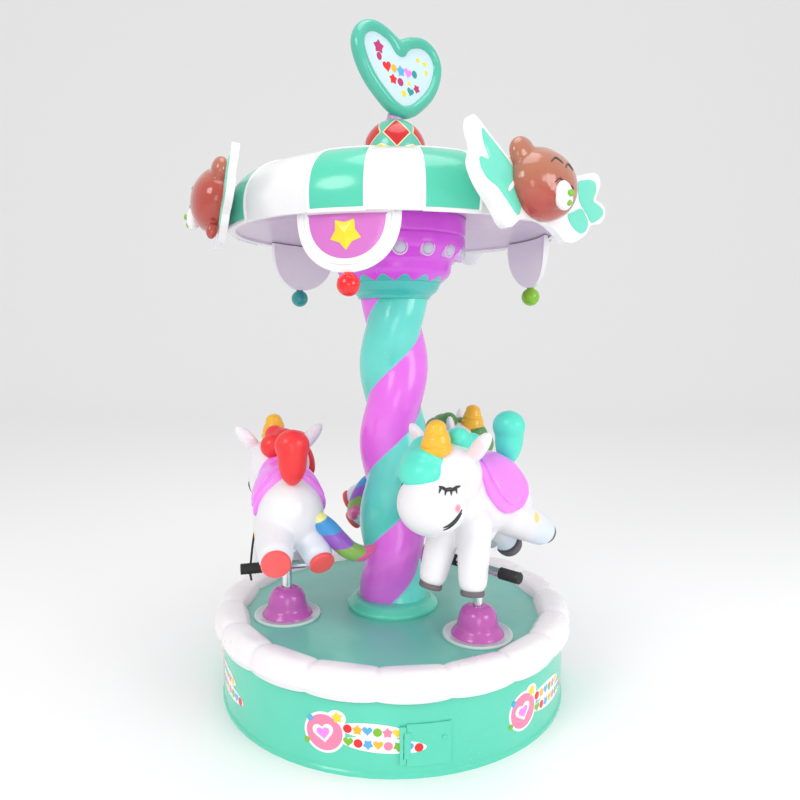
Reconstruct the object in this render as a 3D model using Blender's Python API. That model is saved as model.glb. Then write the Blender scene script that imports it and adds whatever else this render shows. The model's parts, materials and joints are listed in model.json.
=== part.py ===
"""Mini carousel for three small children, at its real size, in metres, with +Z up.

A fixed round base carries a slewing bearing. On it turns a deck with a cloud rim, a twisted column,
a striped canopy with bears and scallops, and three unicorns that ride up and down on lift rods.
Station angles are measured from -Y, positive towards +X.
"""

import math

import bmesh
import bpy
from mathutils import Euler, Matrix, Vector

# Gaps
TOUCH = 0.0003

# Base
BASE_R = 0.550
SKIRT_WALL = 0.006
SKIRT_TOP = 0.226
PLATE_H = 0.012
POST_R = 0.095
BEARING_R = 0.140
BEARING_Z = 0.200

# Service door in the skirt
DOOR_ANGLE = 10.0
DOOR_W = 0.118
DOOR_LOW = 0.034
DOOR_HIGH = 0.148
DOOR_WALL = 0.003
DOOR_OUT = 0.0005
DOOR_LAP = 0.006
HINGE_R = 0.0035
HINGE_PROUD = 0.0002
HINGE_SIDE = 0.004
HINGE_LEAF = 0.014
HINGE_HALF = 0.035
LOCK_X = 0.040
LOCK_Z = 0.016
LOCK_R = 0.007

# Deck
DECK_Z = 0.248
DECK_T = 0.0075
FLOOR_R = 0.467
FLOOR_WAVE = 0.016
LOBES = 18
LOBE_START = -64.0
LOBE_OUT = 0.011
LOBE_UP = 0.007
DRIP = 0.007
RIM_STEPS = 4
ARM_W = 0.050
ARM_END = 0.484
HUB_T = 0.020

# Riding stations
STATIONS = (-73.5, 46.5, 166.5)
RIDE_R = 0.350
RIDE_LIFT = (-0.020, 0.027, -0.007)
ROD_R = 0.015
HOUSING_R = 0.105

# Column and lights
COLUMN_R = 0.110
STRAND_SHIFT = 0.022
TURN_H = 0.505
MINT_CENTRE_Z = 1.040
FOOT_TOP = 0.280
COLUMN_TOP = 1.250
NECK_TOP = 1.300
COLLAR_R = 0.2245
COLLAR_TOP = 1.500
LIGHTS = 16
LIGHT_Z = 1.391
LIGHT_R = 0.018
LIGHT_START = 4.3

# Canopy
CANOPY_R = 0.510
CANOPY_Z = 1.445
CANOPY_TOP = 1.695
CANOPY_WALL = 0.007
CEILING_T = 0.008
SCALLOP_W = 0.266
SCALLOP_H = 0.150
SCALLOP_T = 0.016
SCALLOP_R = 0.472
SCALLOP_LAP = 0.008
LIP_R = 0.4895
LIP_H = 0.012
BALL_R = 0.0285
BOW_R = 0.5145
BOW_TILT = 8.0
BOW_PIVOT_Z = 1.498
BOW_T = 0.020
BOW_Z = 1.530
BEAR_Z = 1.517

# Finial and heart
FINIAL_R = 0.098
FINIAL_Z = 1.705
KNOB_R = 0.027
KNOB_TOP = 1.828
HEART_W = 0.360
HEART_H = 0.292
HEART_T = 0.050
HEART_ROUND = 0.010
HEART_RIM = 0.032
HEART_BLUNT = 0.42
HEART_TURN = 42.0
HEART_LEAN = 5.4
HEART_SIDE = 0.012
HEART_LOW = 1.8045

# Colours: red, green, blue, with roughness and metallic value
PAINTS = {
    "mint": (0.12, 0.62, 0.47, 0.25, 0.0),
    "cream": (0.86, 0.82, 0.84, 0.30, 0.0),
    "white": (0.88, 0.86, 0.88, 0.28, 0.0),
    "orchid": (0.72, 0.18, 0.66, 0.25, 0.0),
    "violet": (0.58, 0.07, 0.62, 0.25, 0.0),
    "lilac": (0.60, 0.35, 0.62, 0.30, 0.0),
    "red": (0.80, 0.02, 0.03, 0.25, 0.0),
    "coral": (0.85, 0.05, 0.05, 0.30, 0.0),
    "teal": (0.02, 0.35, 0.33, 0.30, 0.0),
    "turquoise": (0.10, 0.75, 0.62, 0.30, 0.0),
    "lime": (0.22, 0.52, 0.01, 0.30, 0.0),
    "green": (0.08, 0.30, 0.07, 0.30, 0.0),
    "brown": (0.48, 0.10, 0.06, 0.22, 0.0),
    "ice": (0.62, 0.78, 0.84, 0.35, 0.0),
    "rainbow": (0.35, 0.30, 0.70, 0.30, 0.0),
    "steel": (0.55, 0.56, 0.58, 0.35, 1.0),
    "chrome": (0.75, 0.76, 0.78, 0.12, 1.0),
    "black": (0.02, 0.02, 0.02, 0.60, 0.0),
}
HAIR_PAINTS = ("coral", "turquoise", "green")
BALL_PAINTS = ("red", "lime", "teal")


def clear_scene():
    """Removes the objects that the file starts with."""
    for obj in list(bpy.data.objects):
        bpy.data.objects.remove(obj)


def collection(name):
    """A new collection in the scene."""
    made = bpy.data.collections.new(name)
    bpy.context.scene.collection.children.link(made)
    return made


def paint(name):
    """The Principled material of that paint, made once."""
    found = bpy.data.materials.get(name)
    if found:
        return found
    red, green, blue, rough, metal = PAINTS[name]
    made = bpy.data.materials.new(name)
    made.use_nodes = True
    shader = made.node_tree.nodes["Principled BSDF"]
    shader.inputs["Base Color"].default_value = (red, green, blue, 1.0)
    shader.inputs["Roughness"].default_value = rough
    shader.inputs["Metallic"].default_value = metal
    made.diffuse_color = (red, green, blue, 1.0)
    return made


def place(name, data, paint_name, parent=None):
    """A named sub-part made from mesh or curve data, under a parent empty if one is given."""
    obj = bpy.data.objects.new(name, data)
    MODEL.objects.link(obj)
    if not data.materials:
        data.materials.append(paint(paint_name))
    else:
        obj.material_slots[0].link = "OBJECT"
        obj.material_slots[0].material = paint(paint_name)
    if data.id_type == "MESH":
        data.shade_smooth()
        data.set_sharp_from_angle(angle=math.radians(35))
    if parent:
        obj.parent = parent
    return obj


def station(name, angle, radius=0.0, height=0.0, turn=0.0):
    """An empty at a station angle. Its -Y axis points outwards when turn is 0."""
    empty = bpy.data.objects.new(name, None)
    MODEL.objects.link(empty)
    around = math.radians(angle)
    empty.location = (radius * math.sin(around), -radius * math.cos(around), height)
    empty.rotation_euler = (0.0, 0.0, around + math.radians(turn))
    return empty


def mesh_of(bm, name="shape"):
    """Finishes a bmesh as mesh data, with its normals pointing out."""
    bmesh.ops.recalc_face_normals(bm, faces=bm.faces)
    if bm.calc_volume(signed=True) < 0.0:
        bmesh.ops.reverse_faces(bm, faces=bm.faces)
    data = bpy.data.meshes.new(name)
    bm.to_mesh(data)
    bm.free()
    return data


def ball(centre, radii, turn=(0.0, 0.0, 0.0), segments=10, rings=7, grow=0.0):
    """An ellipsoid, turned by degrees about its centre, and grown all round if asked."""
    bm = bmesh.new()
    bmesh.ops.create_uvsphere(bm, u_segments=segments, v_segments=rings, radius=1.0)
    size = Matrix.Diagonal([r + grow for r in radii] + [1.0])
    angles = Euler([math.radians(a) for a in turn])
    bm.transform(Matrix.Translation(centre) @ angles.to_matrix().to_4x4() @ size)
    return mesh_of(bm)


def bar(start, end, radius_start, radius_end, sides=8, grow=0.0):
    """A round bar or cone from one point to another, grown all round if asked."""
    bm = bmesh.new()
    start, end = Vector(start), Vector(end)
    stretch = (end - start).normalized() * grow
    start, end = start - stretch, end + stretch
    along = end - start
    radius_start, radius_end = radius_start + grow * 1.2, radius_end + grow * 1.2
    bmesh.ops.create_cone(
        bm,
        cap_ends=True,
        segments=sides,
        radius1=radius_start,
        radius2=radius_end,
        depth=along.length,
    )
    turn = along.to_track_quat("Z", "Y").to_matrix().to_4x4()
    bm.transform(Matrix.Translation((start + end) / 2) @ turn)
    return mesh_of(bm)


def box(low, high):
    """A box between two corners."""
    bm = bmesh.new()
    bmesh.ops.create_cube(bm, size=1.0)
    low, high = Vector(low), Vector(high)
    bm.transform(Matrix.Translation((low + high) / 2) @ Matrix.Diagonal([*(high - low), 1.0]))
    return mesh_of(bm)


def turned(profile, steps=48):
    """A closed (radius, height) loop, or an open one that ends on the axis, turned about Z."""
    bm = bmesh.new()
    points = [bm.verts.new((r, 0.0, z)) for r, z in profile]
    closed = all(r > 0.0 for r, _ in profile)
    pairs = zip(points, points[1:] + points[:1] if closed else points[1:])
    edges = [bm.edges.new(pair) for pair in pairs]
    bmesh.ops.spin(
        bm,
        geom=points + edges,
        cent=(0.0, 0.0, 0.0),
        axis=(0.0, 0.0, 1.0),
        angle=2.0 * math.pi,
        steps=steps,
        use_merge=True,
    )
    bmesh.ops.remove_doubles(bm, verts=bm.verts, dist=0.00001)
    return mesh_of(bm)


def combine(base, others, operation="UNION"):
    """Joins meshes to the base, or cuts them from it, and returns the new mesh data."""
    work = bpy.data.objects.new("work", base)
    CUTTERS.objects.link(work)
    helpers = []
    for data in others:
        helper = bpy.data.objects.new("helper", data)
        CUTTERS.objects.link(helper)
        helpers.append(helper)
        step = work.modifiers.new("step", "BOOLEAN")
        step.operation = operation
        step.solver = "EXACT"
        step.object = helper
    graph = bpy.context.evaluated_depsgraph_get()
    data = bpy.data.meshes.new_from_object(work.evaluated_get(graph))
    for obj in [work, *helpers]:
        bpy.data.objects.remove(obj)
    data.materials.clear()
    bm = bmesh.new()
    bm.from_mesh(data)
    bmesh.ops.dissolve_degenerate(bm, dist=0.00002, edges=bm.edges)
    bmesh.ops.remove_doubles(bm, verts=bm.verts, dist=0.00002)
    bm.to_mesh(data)
    bm.free()
    return data


def outline(name, loops, thickness, bevel=0.0, cyclic=True):
    """A flat curve, filled between its loops, with that thickness across local Z."""
    curve = bpy.data.curves.new(name, "CURVE")
    curve.dimensions = "2D"
    curve.fill_mode = "BOTH"
    curve.extrude = thickness / 2 - bevel
    curve.bevel_depth = bevel
    curve.bevel_resolution = 0
    for loop in loops:
        spline = curve.splines.new("POLY")
        spline.points.add(len(loop) - 1)
        for point, (x, y) in zip(spline.points, loop):
            point.co = (x, y, 0.0, 1.0)
        spline.use_cyclic_u = cyclic
    return curve


def curve_mesh(curve, matrix):
    """A flat curve as closed mesh data, placed by a matrix."""
    obj = bpy.data.objects.new("work", curve)
    CUTTERS.objects.link(obj)
    graph = bpy.context.evaluated_depsgraph_get()
    data = bpy.data.meshes.new_from_object(obj.evaluated_get(graph))
    bpy.data.objects.remove(obj)
    bm = bmesh.new()
    bm.from_mesh(data)
    bmesh.ops.remove_doubles(bm, verts=bm.verts, dist=0.00001)
    bm.transform(matrix)
    bmesh.ops.recalc_face_normals(bm, faces=bm.faces)
    bm.to_mesh(data)
    bm.free()
    data.materials.clear()
    return data


def circle(radius, steps, centre=(0.0, 0.0)):
    """Points round a circle."""
    turns = [2.0 * math.pi * i / steps for i in range(steps)]
    return [(centre[0] + radius * math.cos(t), centre[1] + radius * math.sin(t)) for t in turns]


def lobe(angle):
    """0 in a crease of the cloud rim and 1 on the middle of a lobe. The angle is in radians."""
    phase = (angle - math.radians(LOBE_START)) * LOBES / 2.0
    return math.sqrt(abs(math.sin(phase)))


def from_minus_y(x, y):
    """The station angle of a point, in radians."""
    return math.atan2(x, -y)


# Base


def door_frame():
    """A matrix at the middle of the door, with X along the skirt, Y inwards and Z up."""
    around = math.radians(DOOR_ANGLE)
    out = Vector((math.sin(around), -math.cos(around), 0.0))
    middle = out * BASE_R + Vector((0.0, 0.0, (DOOR_LOW + DOOR_HIGH) / 2))
    return Matrix.Translation(middle) @ Matrix.Rotation(around, 4, "Z")


def skirt_ring(outer, inner, low, high, steps=96):
    """A plain round wall."""
    return turned([(outer, low), (outer, high), (inner, high), (inner, low)], steps)


def door_block(width, low, high, near, far):
    """A box through the skirt at the door, in world space. near and far are depths from its face."""
    middle = (DOOR_LOW + DOOR_HIGH) / 2
    data = box((-width / 2, near, low - middle), (width / 2, far, high - middle))
    data.transform(door_frame())
    return data


def make_base():
    """The fixed base: plate, skirt with its door opening, and the post of the bearing."""
    edge = BASE_R - SKIRT_WALL - TOUCH
    disc = [(0.0, 0.0), (edge, 0.0), (edge, PLATE_H), (0.0, PLATE_H)]
    place("base_plate", turned(disc, 60), "steel")
    lip = 0.004
    profile = [
        (BASE_R + lip, 0.0),
        (BASE_R + lip, 0.010),
        (BASE_R, 0.014),
        (BASE_R, SKIRT_TOP),
        (BASE_R - SKIRT_WALL, SKIRT_TOP),
        (BASE_R - SKIRT_WALL, 0.0),
    ]
    hole = door_block(DOOR_W - 2 * DOOR_LAP, DOOR_LOW + DOOR_LAP, DOOR_HIGH - DOOR_LAP, -0.03, 0.03)
    place("base_skirt", combine(turned(profile, 60), [hole], "DIFFERENCE"), "mint")
    post = [
        (0.0, PLATE_H + TOUCH),
        (POST_R, PLATE_H + TOUCH),
        (POST_R, BEARING_Z - 0.022),
        (BEARING_R, BEARING_Z - 0.018),
        (BEARING_R, BEARING_Z),
        (0.0, BEARING_Z),
    ]
    place("drive_post", turned(post, 32), "steel")


def hinge_pin(across, low, high):
    """A round piece of the hinge between two heights, in the door's own frame."""
    return bar((across, -HINGE_PROUD, low), (across, -HINGE_PROUD, high), HINGE_R, HINGE_R)


def make_door():
    """The service door, which laps over its opening, with its hinge and its lock."""
    frame = door_frame()
    outer = BASE_R + DOOR_OUT + DOOR_WALL
    panel = combine(
        skirt_ring(outer, BASE_R + DOOR_OUT, DOOR_LOW, DOOR_HIGH, 180),
        [door_block(DOOR_W, DOOR_LOW - 0.01, DOOR_HIGH + 0.01, -0.03, 0.03)],
        "INTERSECT",
    )
    edge = -DOOR_W / 2
    pin = edge - HINGE_SIDE
    leaf = box((pin, -HINGE_R, -HINGE_HALF), (edge + 0.010, 0.0015, HINGE_HALF))
    knuckle = hinge_pin(pin, -HINGE_HALF, HINGE_HALF)
    lock = bar((LOCK_X, 0.001, LOCK_Z), (LOCK_X, -0.0050, LOCK_Z), LOCK_R, LOCK_R - 0.001, 12)
    for piece in (leaf, knuckle, lock):
        piece.transform(frame)
    place("service_door", combine(panel, [leaf, knuckle, lock]), "mint")
    reach = (DOOR_HIGH - DOOR_LOW) / 2 - 0.006
    ends = []
    for side in (-1.0, 1.0):
        low, high = sorted((side * (HINGE_HALF + TOUCH), side * reach))
        ends.append(hinge_pin(pin, low, high))
        ends.append(box((pin - HINGE_LEAF, -0.0025, low), (pin, 0.0080, high)))
    plate = box((pin - HINGE_LEAF, -0.0025, -reach), (pin - HINGE_R - 0.0015, 0.0080, reach))
    hinge = combine(plate, ends)
    hinge.transform(frame)
    wall = skirt_ring(BASE_R + TOUCH, BASE_R - 0.03, -0.01, SKIRT_TOP + 0.01, 180)
    place("door_hinge", combine(hinge, [wall], "DIFFERENCE"), "mint")


# Deck


def make_frame():
    """The steel spider under the deck: hub, three arms and a rod hole in each."""
    low, mid, high = BEARING_Z + TOUCH, BEARING_Z + HUB_T + TOUCH, DECK_Z - DECK_T - TOUCH
    hub = turned([(0.0, low), (BEARING_R, low), (BEARING_R, high), (0.0, high)], 32)
    arms, holes = [], []
    for angle in STATIONS:
        turn = Matrix.Rotation(math.radians(angle), 4, "Z")
        arm = box((-ARM_W / 2, -ARM_END, mid), (ARM_W / 2, -0.05, high))
        arm.transform(turn)
        arms.append(arm)
        hole = bar((0.0, -RIDE_R, 0.1), (0.0, -RIDE_R, 0.4), ROD_R + 0.004, ROD_R + 0.004, 16)
        hole.transform(turn)
        holes.append(hole)
    place("turntable_frame", combine(combine(hub, arms), holes, "DIFFERENCE"), "steel")


def floor_radius(angle):
    """Radius of the mint floor's wavy edge."""
    return FLOOR_R + FLOOR_WAVE * (1.0 - lobe(angle))


def make_floor():
    """The mint floor with its wavy edge and the three rod holes."""
    count = LOBES * RIM_STEPS
    start = math.radians(LOBE_START)
    edge = []
    for i in range(count):
        angle = start + 2.0 * math.pi * i / count
        edge.append((floor_radius(angle) * math.sin(angle), -floor_radius(angle) * math.cos(angle)))
    loops = [edge]
    for angle in STATIONS:
        around = math.radians(angle)
        centre = (RIDE_R * math.sin(around), -RIDE_R * math.cos(around))
        loops.append(circle(ROD_R + 0.004, 16, centre))
    floor = place("deck_floor", outline("deck_floor", loops, DECK_T), "mint")
    floor.location = (0.0, 0.0, DECK_Z - DECK_T / 2)


def make_rim():
    """The puffy cloud rim: a turned shell whose radius and height swell in each lobe."""
    foot = DECK_Z - DECK_T
    edge = FLOOR_R + TOUCH
    low = SKIRT_TOP - 0.030
    # radius, height, share of the floor's wave, share of the lobe's swelling
    profile = [
        (edge, foot, 1.0, 0.0),
        (edge, foot + 0.014, 1.0, 0.0),
        (edge + 0.014, foot + 0.031, 0.7, 0.6),
        (0.522, foot + 0.037, 0.0, 1.0),
        (0.554, foot + 0.022, 0.0, 1.0),
        (0.566, foot - 0.010, 0.0, 1.0),
        (0.562, low, 0.0, 0.4),
        (0.5565, low, 0.0, 0.2),
        (0.5570, foot - 0.010, 0.0, 0.6),
        (0.545, foot + 0.014, 0.0, 0.8),
        (0.515, foot + 0.027, 0.0, 0.9),
        (edge + 0.010, foot, 0.7, 0.0),
    ]
    bm = bmesh.new()
    share = bm.verts.layers.float_vector.new("share")
    points = [bm.verts.new((r, 0.0, z)) for r, z, _, _ in profile]
    edges = [bm.edges.new(pair) for pair in zip(points, points[1:] + points[:1])]
    for point, (_, z, wave, swell) in zip(points, profile):
        point[share] = (wave, swell, 1.0 if z < low + 0.001 else 0.0)
    bmesh.ops.spin(
        bm,
        geom=points + edges,
        cent=(0.0, 0.0, 0.0),
        axis=(0.0, 0.0, 1.0),
        angle=2.0 * math.pi,
        steps=LOBES * RIM_STEPS,
        use_merge=True,
    )
    bmesh.ops.remove_doubles(bm, verts=bm.verts, dist=0.00001)
    bm.transform(Matrix.Rotation(math.radians(LOBE_START - 90.0), 4, "Z"))
    for point in bm.verts:
        wave, swell, drips = point[share]
        angle = from_minus_y(point.co.x, point.co.y)
        radius = math.hypot(point.co.x, point.co.y)
        grown = radius + wave * FLOOR_WAVE * (1.0 - lobe(angle)) + swell * LOBE_OUT * lobe(angle)
        point.co.x *= grown / radius
        point.co.y *= grown / radius
        point.co.z += swell * LOBE_UP * lobe(angle) * (1.0 - drips) - drips * DRIP * lobe(angle)
    place("cloud_rim", mesh_of(bm), "cream")


# Column


def column_radius(angle, height):
    """Radius of the two-strand twist at an angle and a height."""
    strand = math.radians(180.0) + 2.0 * math.pi * (height - MINT_CENTRE_Z) / TURN_H
    off = math.cos(angle - strand)
    radius = COLUMN_R - STRAND_SHIFT
    across = STRAND_SHIFT * math.sqrt(max(0.0, 1.0 - off * off))
    return STRAND_SHIFT * abs(off) + math.sqrt(radius * radius - across * across)


def make_column():
    """The foot and the twisted column: a fine cylinder whose points follow the strands."""
    foot = [
        (0.0, DECK_Z + TOUCH),
        (0.148, DECK_Z + TOUCH),
        (0.150, DECK_Z + 0.010),
        (0.135, DECK_Z + 0.024),
        (0.120, FOOT_TOP),
        (0.0, FOOT_TOP),
    ]
    place("column_foot", turned(foot, 24), "mint")
    sides, rings = 20, 27
    low = FOOT_TOP + TOUCH
    rise = (COLUMN_TOP - low) / rings
    profile = [(0.0, low)] + [(COLUMN_R, low + rise * i) for i in range(rings + 1)] + [(0.0, COLUMN_TOP)]
    data = turned(profile, sides)
    for point in data.vertices:
        radius = math.hypot(point.co.x, point.co.y)
        if radius < 0.001:
            continue
        twist = 2.0 * math.pi * (point.co.z - low) / TURN_H
        angle = math.atan2(point.co.y, point.co.x) + twist
        grown = column_radius(angle, point.co.z)
        point.co.x = grown * math.cos(angle)
        point.co.y = grown * math.sin(angle)
    bm = bmesh.new()
    bm.from_mesh(data)
    bmesh.ops.triangulate(bm, faces=bm.faces, quad_method="SHORT_EDGE")
    place("twisted_column", mesh_of(bm), "orchid")
    neck = [
        (0.0, COLUMN_TOP + TOUCH),
        (0.113, COLUMN_TOP + TOUCH),
        (0.119, COLUMN_TOP + 0.011),
        (0.134, COLUMN_TOP + 0.023),
        (0.145, COLUMN_TOP + 0.042),
        (0.149, NECK_TOP),
        (0.0, NECK_TOP),
    ]
    place("column_neck", turned(neck, 32), "mint")


def make_lights():
    """The light collar: a cup in two tiers, with a ring of lamps round the lower tier."""
    low = NECK_TOP + TOUCH
    collar = [
        (0.0, low),
        (0.149, low),
        (0.165, NECK_TOP + 0.013),
        (0.178, NECK_TOP + 0.030),
        (0.185, NECK_TOP + 0.062),
        (0.206, NECK_TOP + 0.082),
        (COLLAR_R - 0.002, NECK_TOP + 0.100),
        (COLLAR_R, NECK_TOP + 0.132),
        (COLLAR_R - 0.006, NECK_TOP + 0.138),
        (COLLAR_R, NECK_TOP + 0.144),
        (COLLAR_R, COLLAR_TOP),
        (0.0, COLLAR_TOP),
    ]
    lamps = []
    for i in range(LIGHTS):
        around = math.radians(LIGHT_START) + 2.0 * math.pi * i / LIGHTS
        out = Vector((math.sin(around), -math.cos(around), 0.0))
        back = Vector((0.0, 0.0, LIGHT_Z)) + out * (COLLAR_R - 0.034)
        lamps.append(bar(back, back + out * 0.036, LIGHT_R, LIGHT_R * 0.75, 6))
    place("light_collar", combine(turned(collar, 32), lamps), "violet")


# Canopy


def dome_profile():
    """Outer (radius, height) points of the canopy, from its rim to its flat top."""
    return [
        (CANOPY_R, CANOPY_Z),
        (CANOPY_R + 0.004, CANOPY_Z + 0.053),
        (CANOPY_R - 0.007, CANOPY_Z + 0.113),
        (CANOPY_R - 0.024, CANOPY_Z + 0.143),
        (CANOPY_R - 0.053, CANOPY_Z + 0.164),
        (CANOPY_R - 0.110, CANOPY_Z + 0.184),
        (0.300, CANOPY_TOP - 0.040),
        (0.200, CANOPY_TOP - 0.015),
        (0.110, CANOPY_TOP),
    ]


def dome_lining():
    """Inner (radius, height) points of the canopy, one for every other outer point."""
    return [(r - CANOPY_WALL * 0.9, z - CANOPY_WALL * 0.7) for r, z in dome_profile()[1::2]]


def lining_radius(height):
    """Inner radius of the canopy at a height between its first two lining points."""
    (r0, z0), (r1, z1) = dome_lining()[:2]
    return r0 + (r1 - r0) * (height - z0) / (z1 - z0)


def make_canopy():
    """The open-bottomed dome and the flat ceiling that carries it on the collar."""
    outer = dome_profile()
    rim = [(LIP_R, CANOPY_Z), (LIP_R, CANOPY_Z + LIP_H)]
    crown = [(0.0, CANOPY_TOP - CANOPY_WALL)]
    loop = [(0.0, CANOPY_TOP)] + outer[::-1] + rim + dome_lining() + crown
    place("canopy_dome", turned(loop, 48), "white")
    low, high = COLLAR_TOP + TOUCH, COLLAR_TOP + TOUCH + CEILING_T
    gap = 2.0 * TOUCH
    disc = [(0.0, low), (lining_radius(low) - gap, low), (lining_radius(high) - gap, high), (0.0, high)]
    place("canopy_ceiling", turned(disc, 48), "lilac")


def scallop_half_width(drop):
    """Half width of a scallop at a share of its height below the canopy's rim."""
    return SCALLOP_W / 2 * (1.0 - min(1.0, drop) ** 2.5) ** 0.5


def scallop_mesh():
    """A U-shaped plate that follows the rim: a grid, shaped by formula and given its thickness."""
    bm = bmesh.new()
    bmesh.ops.create_grid(bm, x_segments=8, y_segments=7, size=1.0)
    for point in bm.verts:
        drop = (1.0 - point.co.y) / 2.0
        lower = 1.0 - (1.0 - drop) ** 1.7
        side = point.co.x * max(0.012, scallop_half_width(lower))
        around = side / SCALLOP_R
        radius = SCALLOP_R
        height = CANOPY_Z + SCALLOP_LAP - (SCALLOP_H + SCALLOP_LAP) * lower
        point.co = (radius * math.sin(around), -radius * math.cos(around), height)
    bmesh.ops.recalc_face_normals(bm, faces=bm.faces)
    face = max(bm.faces, key=lambda f: f.calc_area())
    if face.normal.y > 0:
        bmesh.ops.reverse_faces(bm, faces=bm.faces)
    made = bmesh.ops.extrude_face_region(bm, geom=bm.faces[:])
    for item in made["geom"]:
        if isinstance(item, bmesh.types.BMVert):
            item.co.xy *= 1.0 + SCALLOP_T / SCALLOP_R
    return mesh_of(bm)


def make_scallops():
    """Three hanging scallops, a bear station apart, each with its ball."""
    plate = scallop_mesh()
    low = CANOPY_Z - SCALLOP_H - BALL_R - TOUCH
    bead = ball((0.0, -(SCALLOP_R + SCALLOP_T / 2), low), (BALL_R,) * 3, segments=10, rings=6)
    for i, angle in enumerate(STATIONS):
        hub = station(f"scallop_station_{i + 1}", angle + 60.0)
        place(f"scallop_{i + 1}", plate, "white", hub)
        place(f"scallop_ball_{i + 1}", bead, BALL_PAINTS[i], hub)


def bow_outline():
    """The bow's edge about its middle: two round lobes on one side, a tall leaf on the other."""
    lobes = [
        (0.000, 0.050),
        (0.110, 0.050),
        (0.207, 0.060),
        (0.255, 0.073),
        (0.310, 0.085),
        (0.339, 0.079),
        (0.343, 0.056),
        (0.322, 0.027),
        (0.305, 0.005),
        (0.338, -0.002),
        (0.358, -0.018),
        (0.348, -0.043),
        (0.314, -0.065),
        (0.258, -0.077),
        (0.230, -0.102),
        (0.186, -0.123),
        (0.139, -0.138),
        (0.097, -0.137),
        (0.069, -0.121),
    ]
    leaf = [
        (0.000, -0.095),
        (-0.100, -0.100),
        (-0.130, -0.112),
        (-0.155, -0.126),
        (-0.180, -0.128),
        (-0.196, -0.119),
        (-0.212, -0.099),
        (-0.228, -0.080),
        (-0.250, -0.060),
        (-0.272, -0.038),
        (-0.288, -0.013),
        (-0.296, 0.013),
        (-0.284, 0.042),
        (-0.282, 0.058),
        (-0.290, 0.082),
        (-0.291, 0.100),
        (-0.280, 0.122),
        (-0.260, 0.124),
        (-0.214, 0.096),
        (-0.178, 0.073),
        (-0.130, 0.050),
    ]
    return lobes + leaf


def bear_mesh():
    """A bear's head with snout and ears, cut flat where it meets the bow."""
    back = -(BOW_T + TOUCH)
    low = BEAR_Z - BOW_PIVOT_Z
    deep = back - 0.030
    head = ball((0.0, deep, low), (0.092, 0.090, 0.086), segments=14, rings=10)
    parts = [
        ball((0.0, deep - 0.072, low - 0.028), (0.040, 0.036, 0.034), segments=8, rings=6),
        ball((-0.064, deep + 0.010, low + 0.070), (0.034, 0.024, 0.035), segments=8, rings=6),
        ball((0.064, deep + 0.010, low + 0.070), (0.034, 0.024, 0.035), segments=8, rings=6),
    ]
    solid = combine(head, parts)
    return combine(solid, [box((-0.3, back, low - 0.3), (0.3, back + 0.3, low + 0.3))], "DIFFERENCE")


def make_bears():
    """Three bow plates that lean on the canopy's shoulder, with a bear's head on each."""
    lean = Matrix.Translation((0.0, -BOW_R, BOW_PIVOT_Z)) @ Matrix.Rotation(math.radians(-BOW_TILT), 4, "X")
    flat = Matrix.Translation((0.0, -BOW_T / 2, BOW_Z - BOW_PIVOT_Z)) @ Matrix.Rotation(math.pi / 2, 4, "X")
    plate = curve_mesh(outline("bow", [bow_outline()], BOW_T, 0.004), lean @ flat)
    head = bear_mesh()
    head.transform(lean)
    for i, angle in enumerate(STATIONS):
        hub = station(f"bear_station_{i + 1}", angle)
        place(f"bow_plate_{i + 1}", plate, "white", hub)
        place(f"bear_head_{i + 1}", head, "brown", hub)


# Finial


def heart_point(turn, width, height):
    """A point on a heart of that width and height, about its middle."""
    x = math.sin(turn) ** 3
    y = 13.0 * math.cos(turn) - 5.0 * math.cos(2 * turn) - 2.0 * math.cos(3 * turn) - math.cos(4 * turn)
    blunt = 14.5 * math.cos(turn) - 2.5
    y += (blunt - y) * HEART_BLUNT
    x += (math.sin(turn) - x) * HEART_BLUNT
    return (x * width / 2, (y + 2.5) / 29.0 * height)


def heart_loop(inset, count=30):
    """A heart's edge, drawn in from the full size, with its tip and cleft rounded."""
    width, height = HEART_W - 2 * inset, HEART_H - 2 * inset
    points = []
    for i in range(count):
        turn = 2.0 * math.pi * (i + 0.5) / count
        points.append(Vector(heart_point(turn, width, height)))
    for _ in range(3):
        points = [(points[i - 1] + points[i] * 2 + points[(i + 1) % count]) / 4 for i in range(count)]
    return [(p.x, p.y) for p in points]


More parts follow.
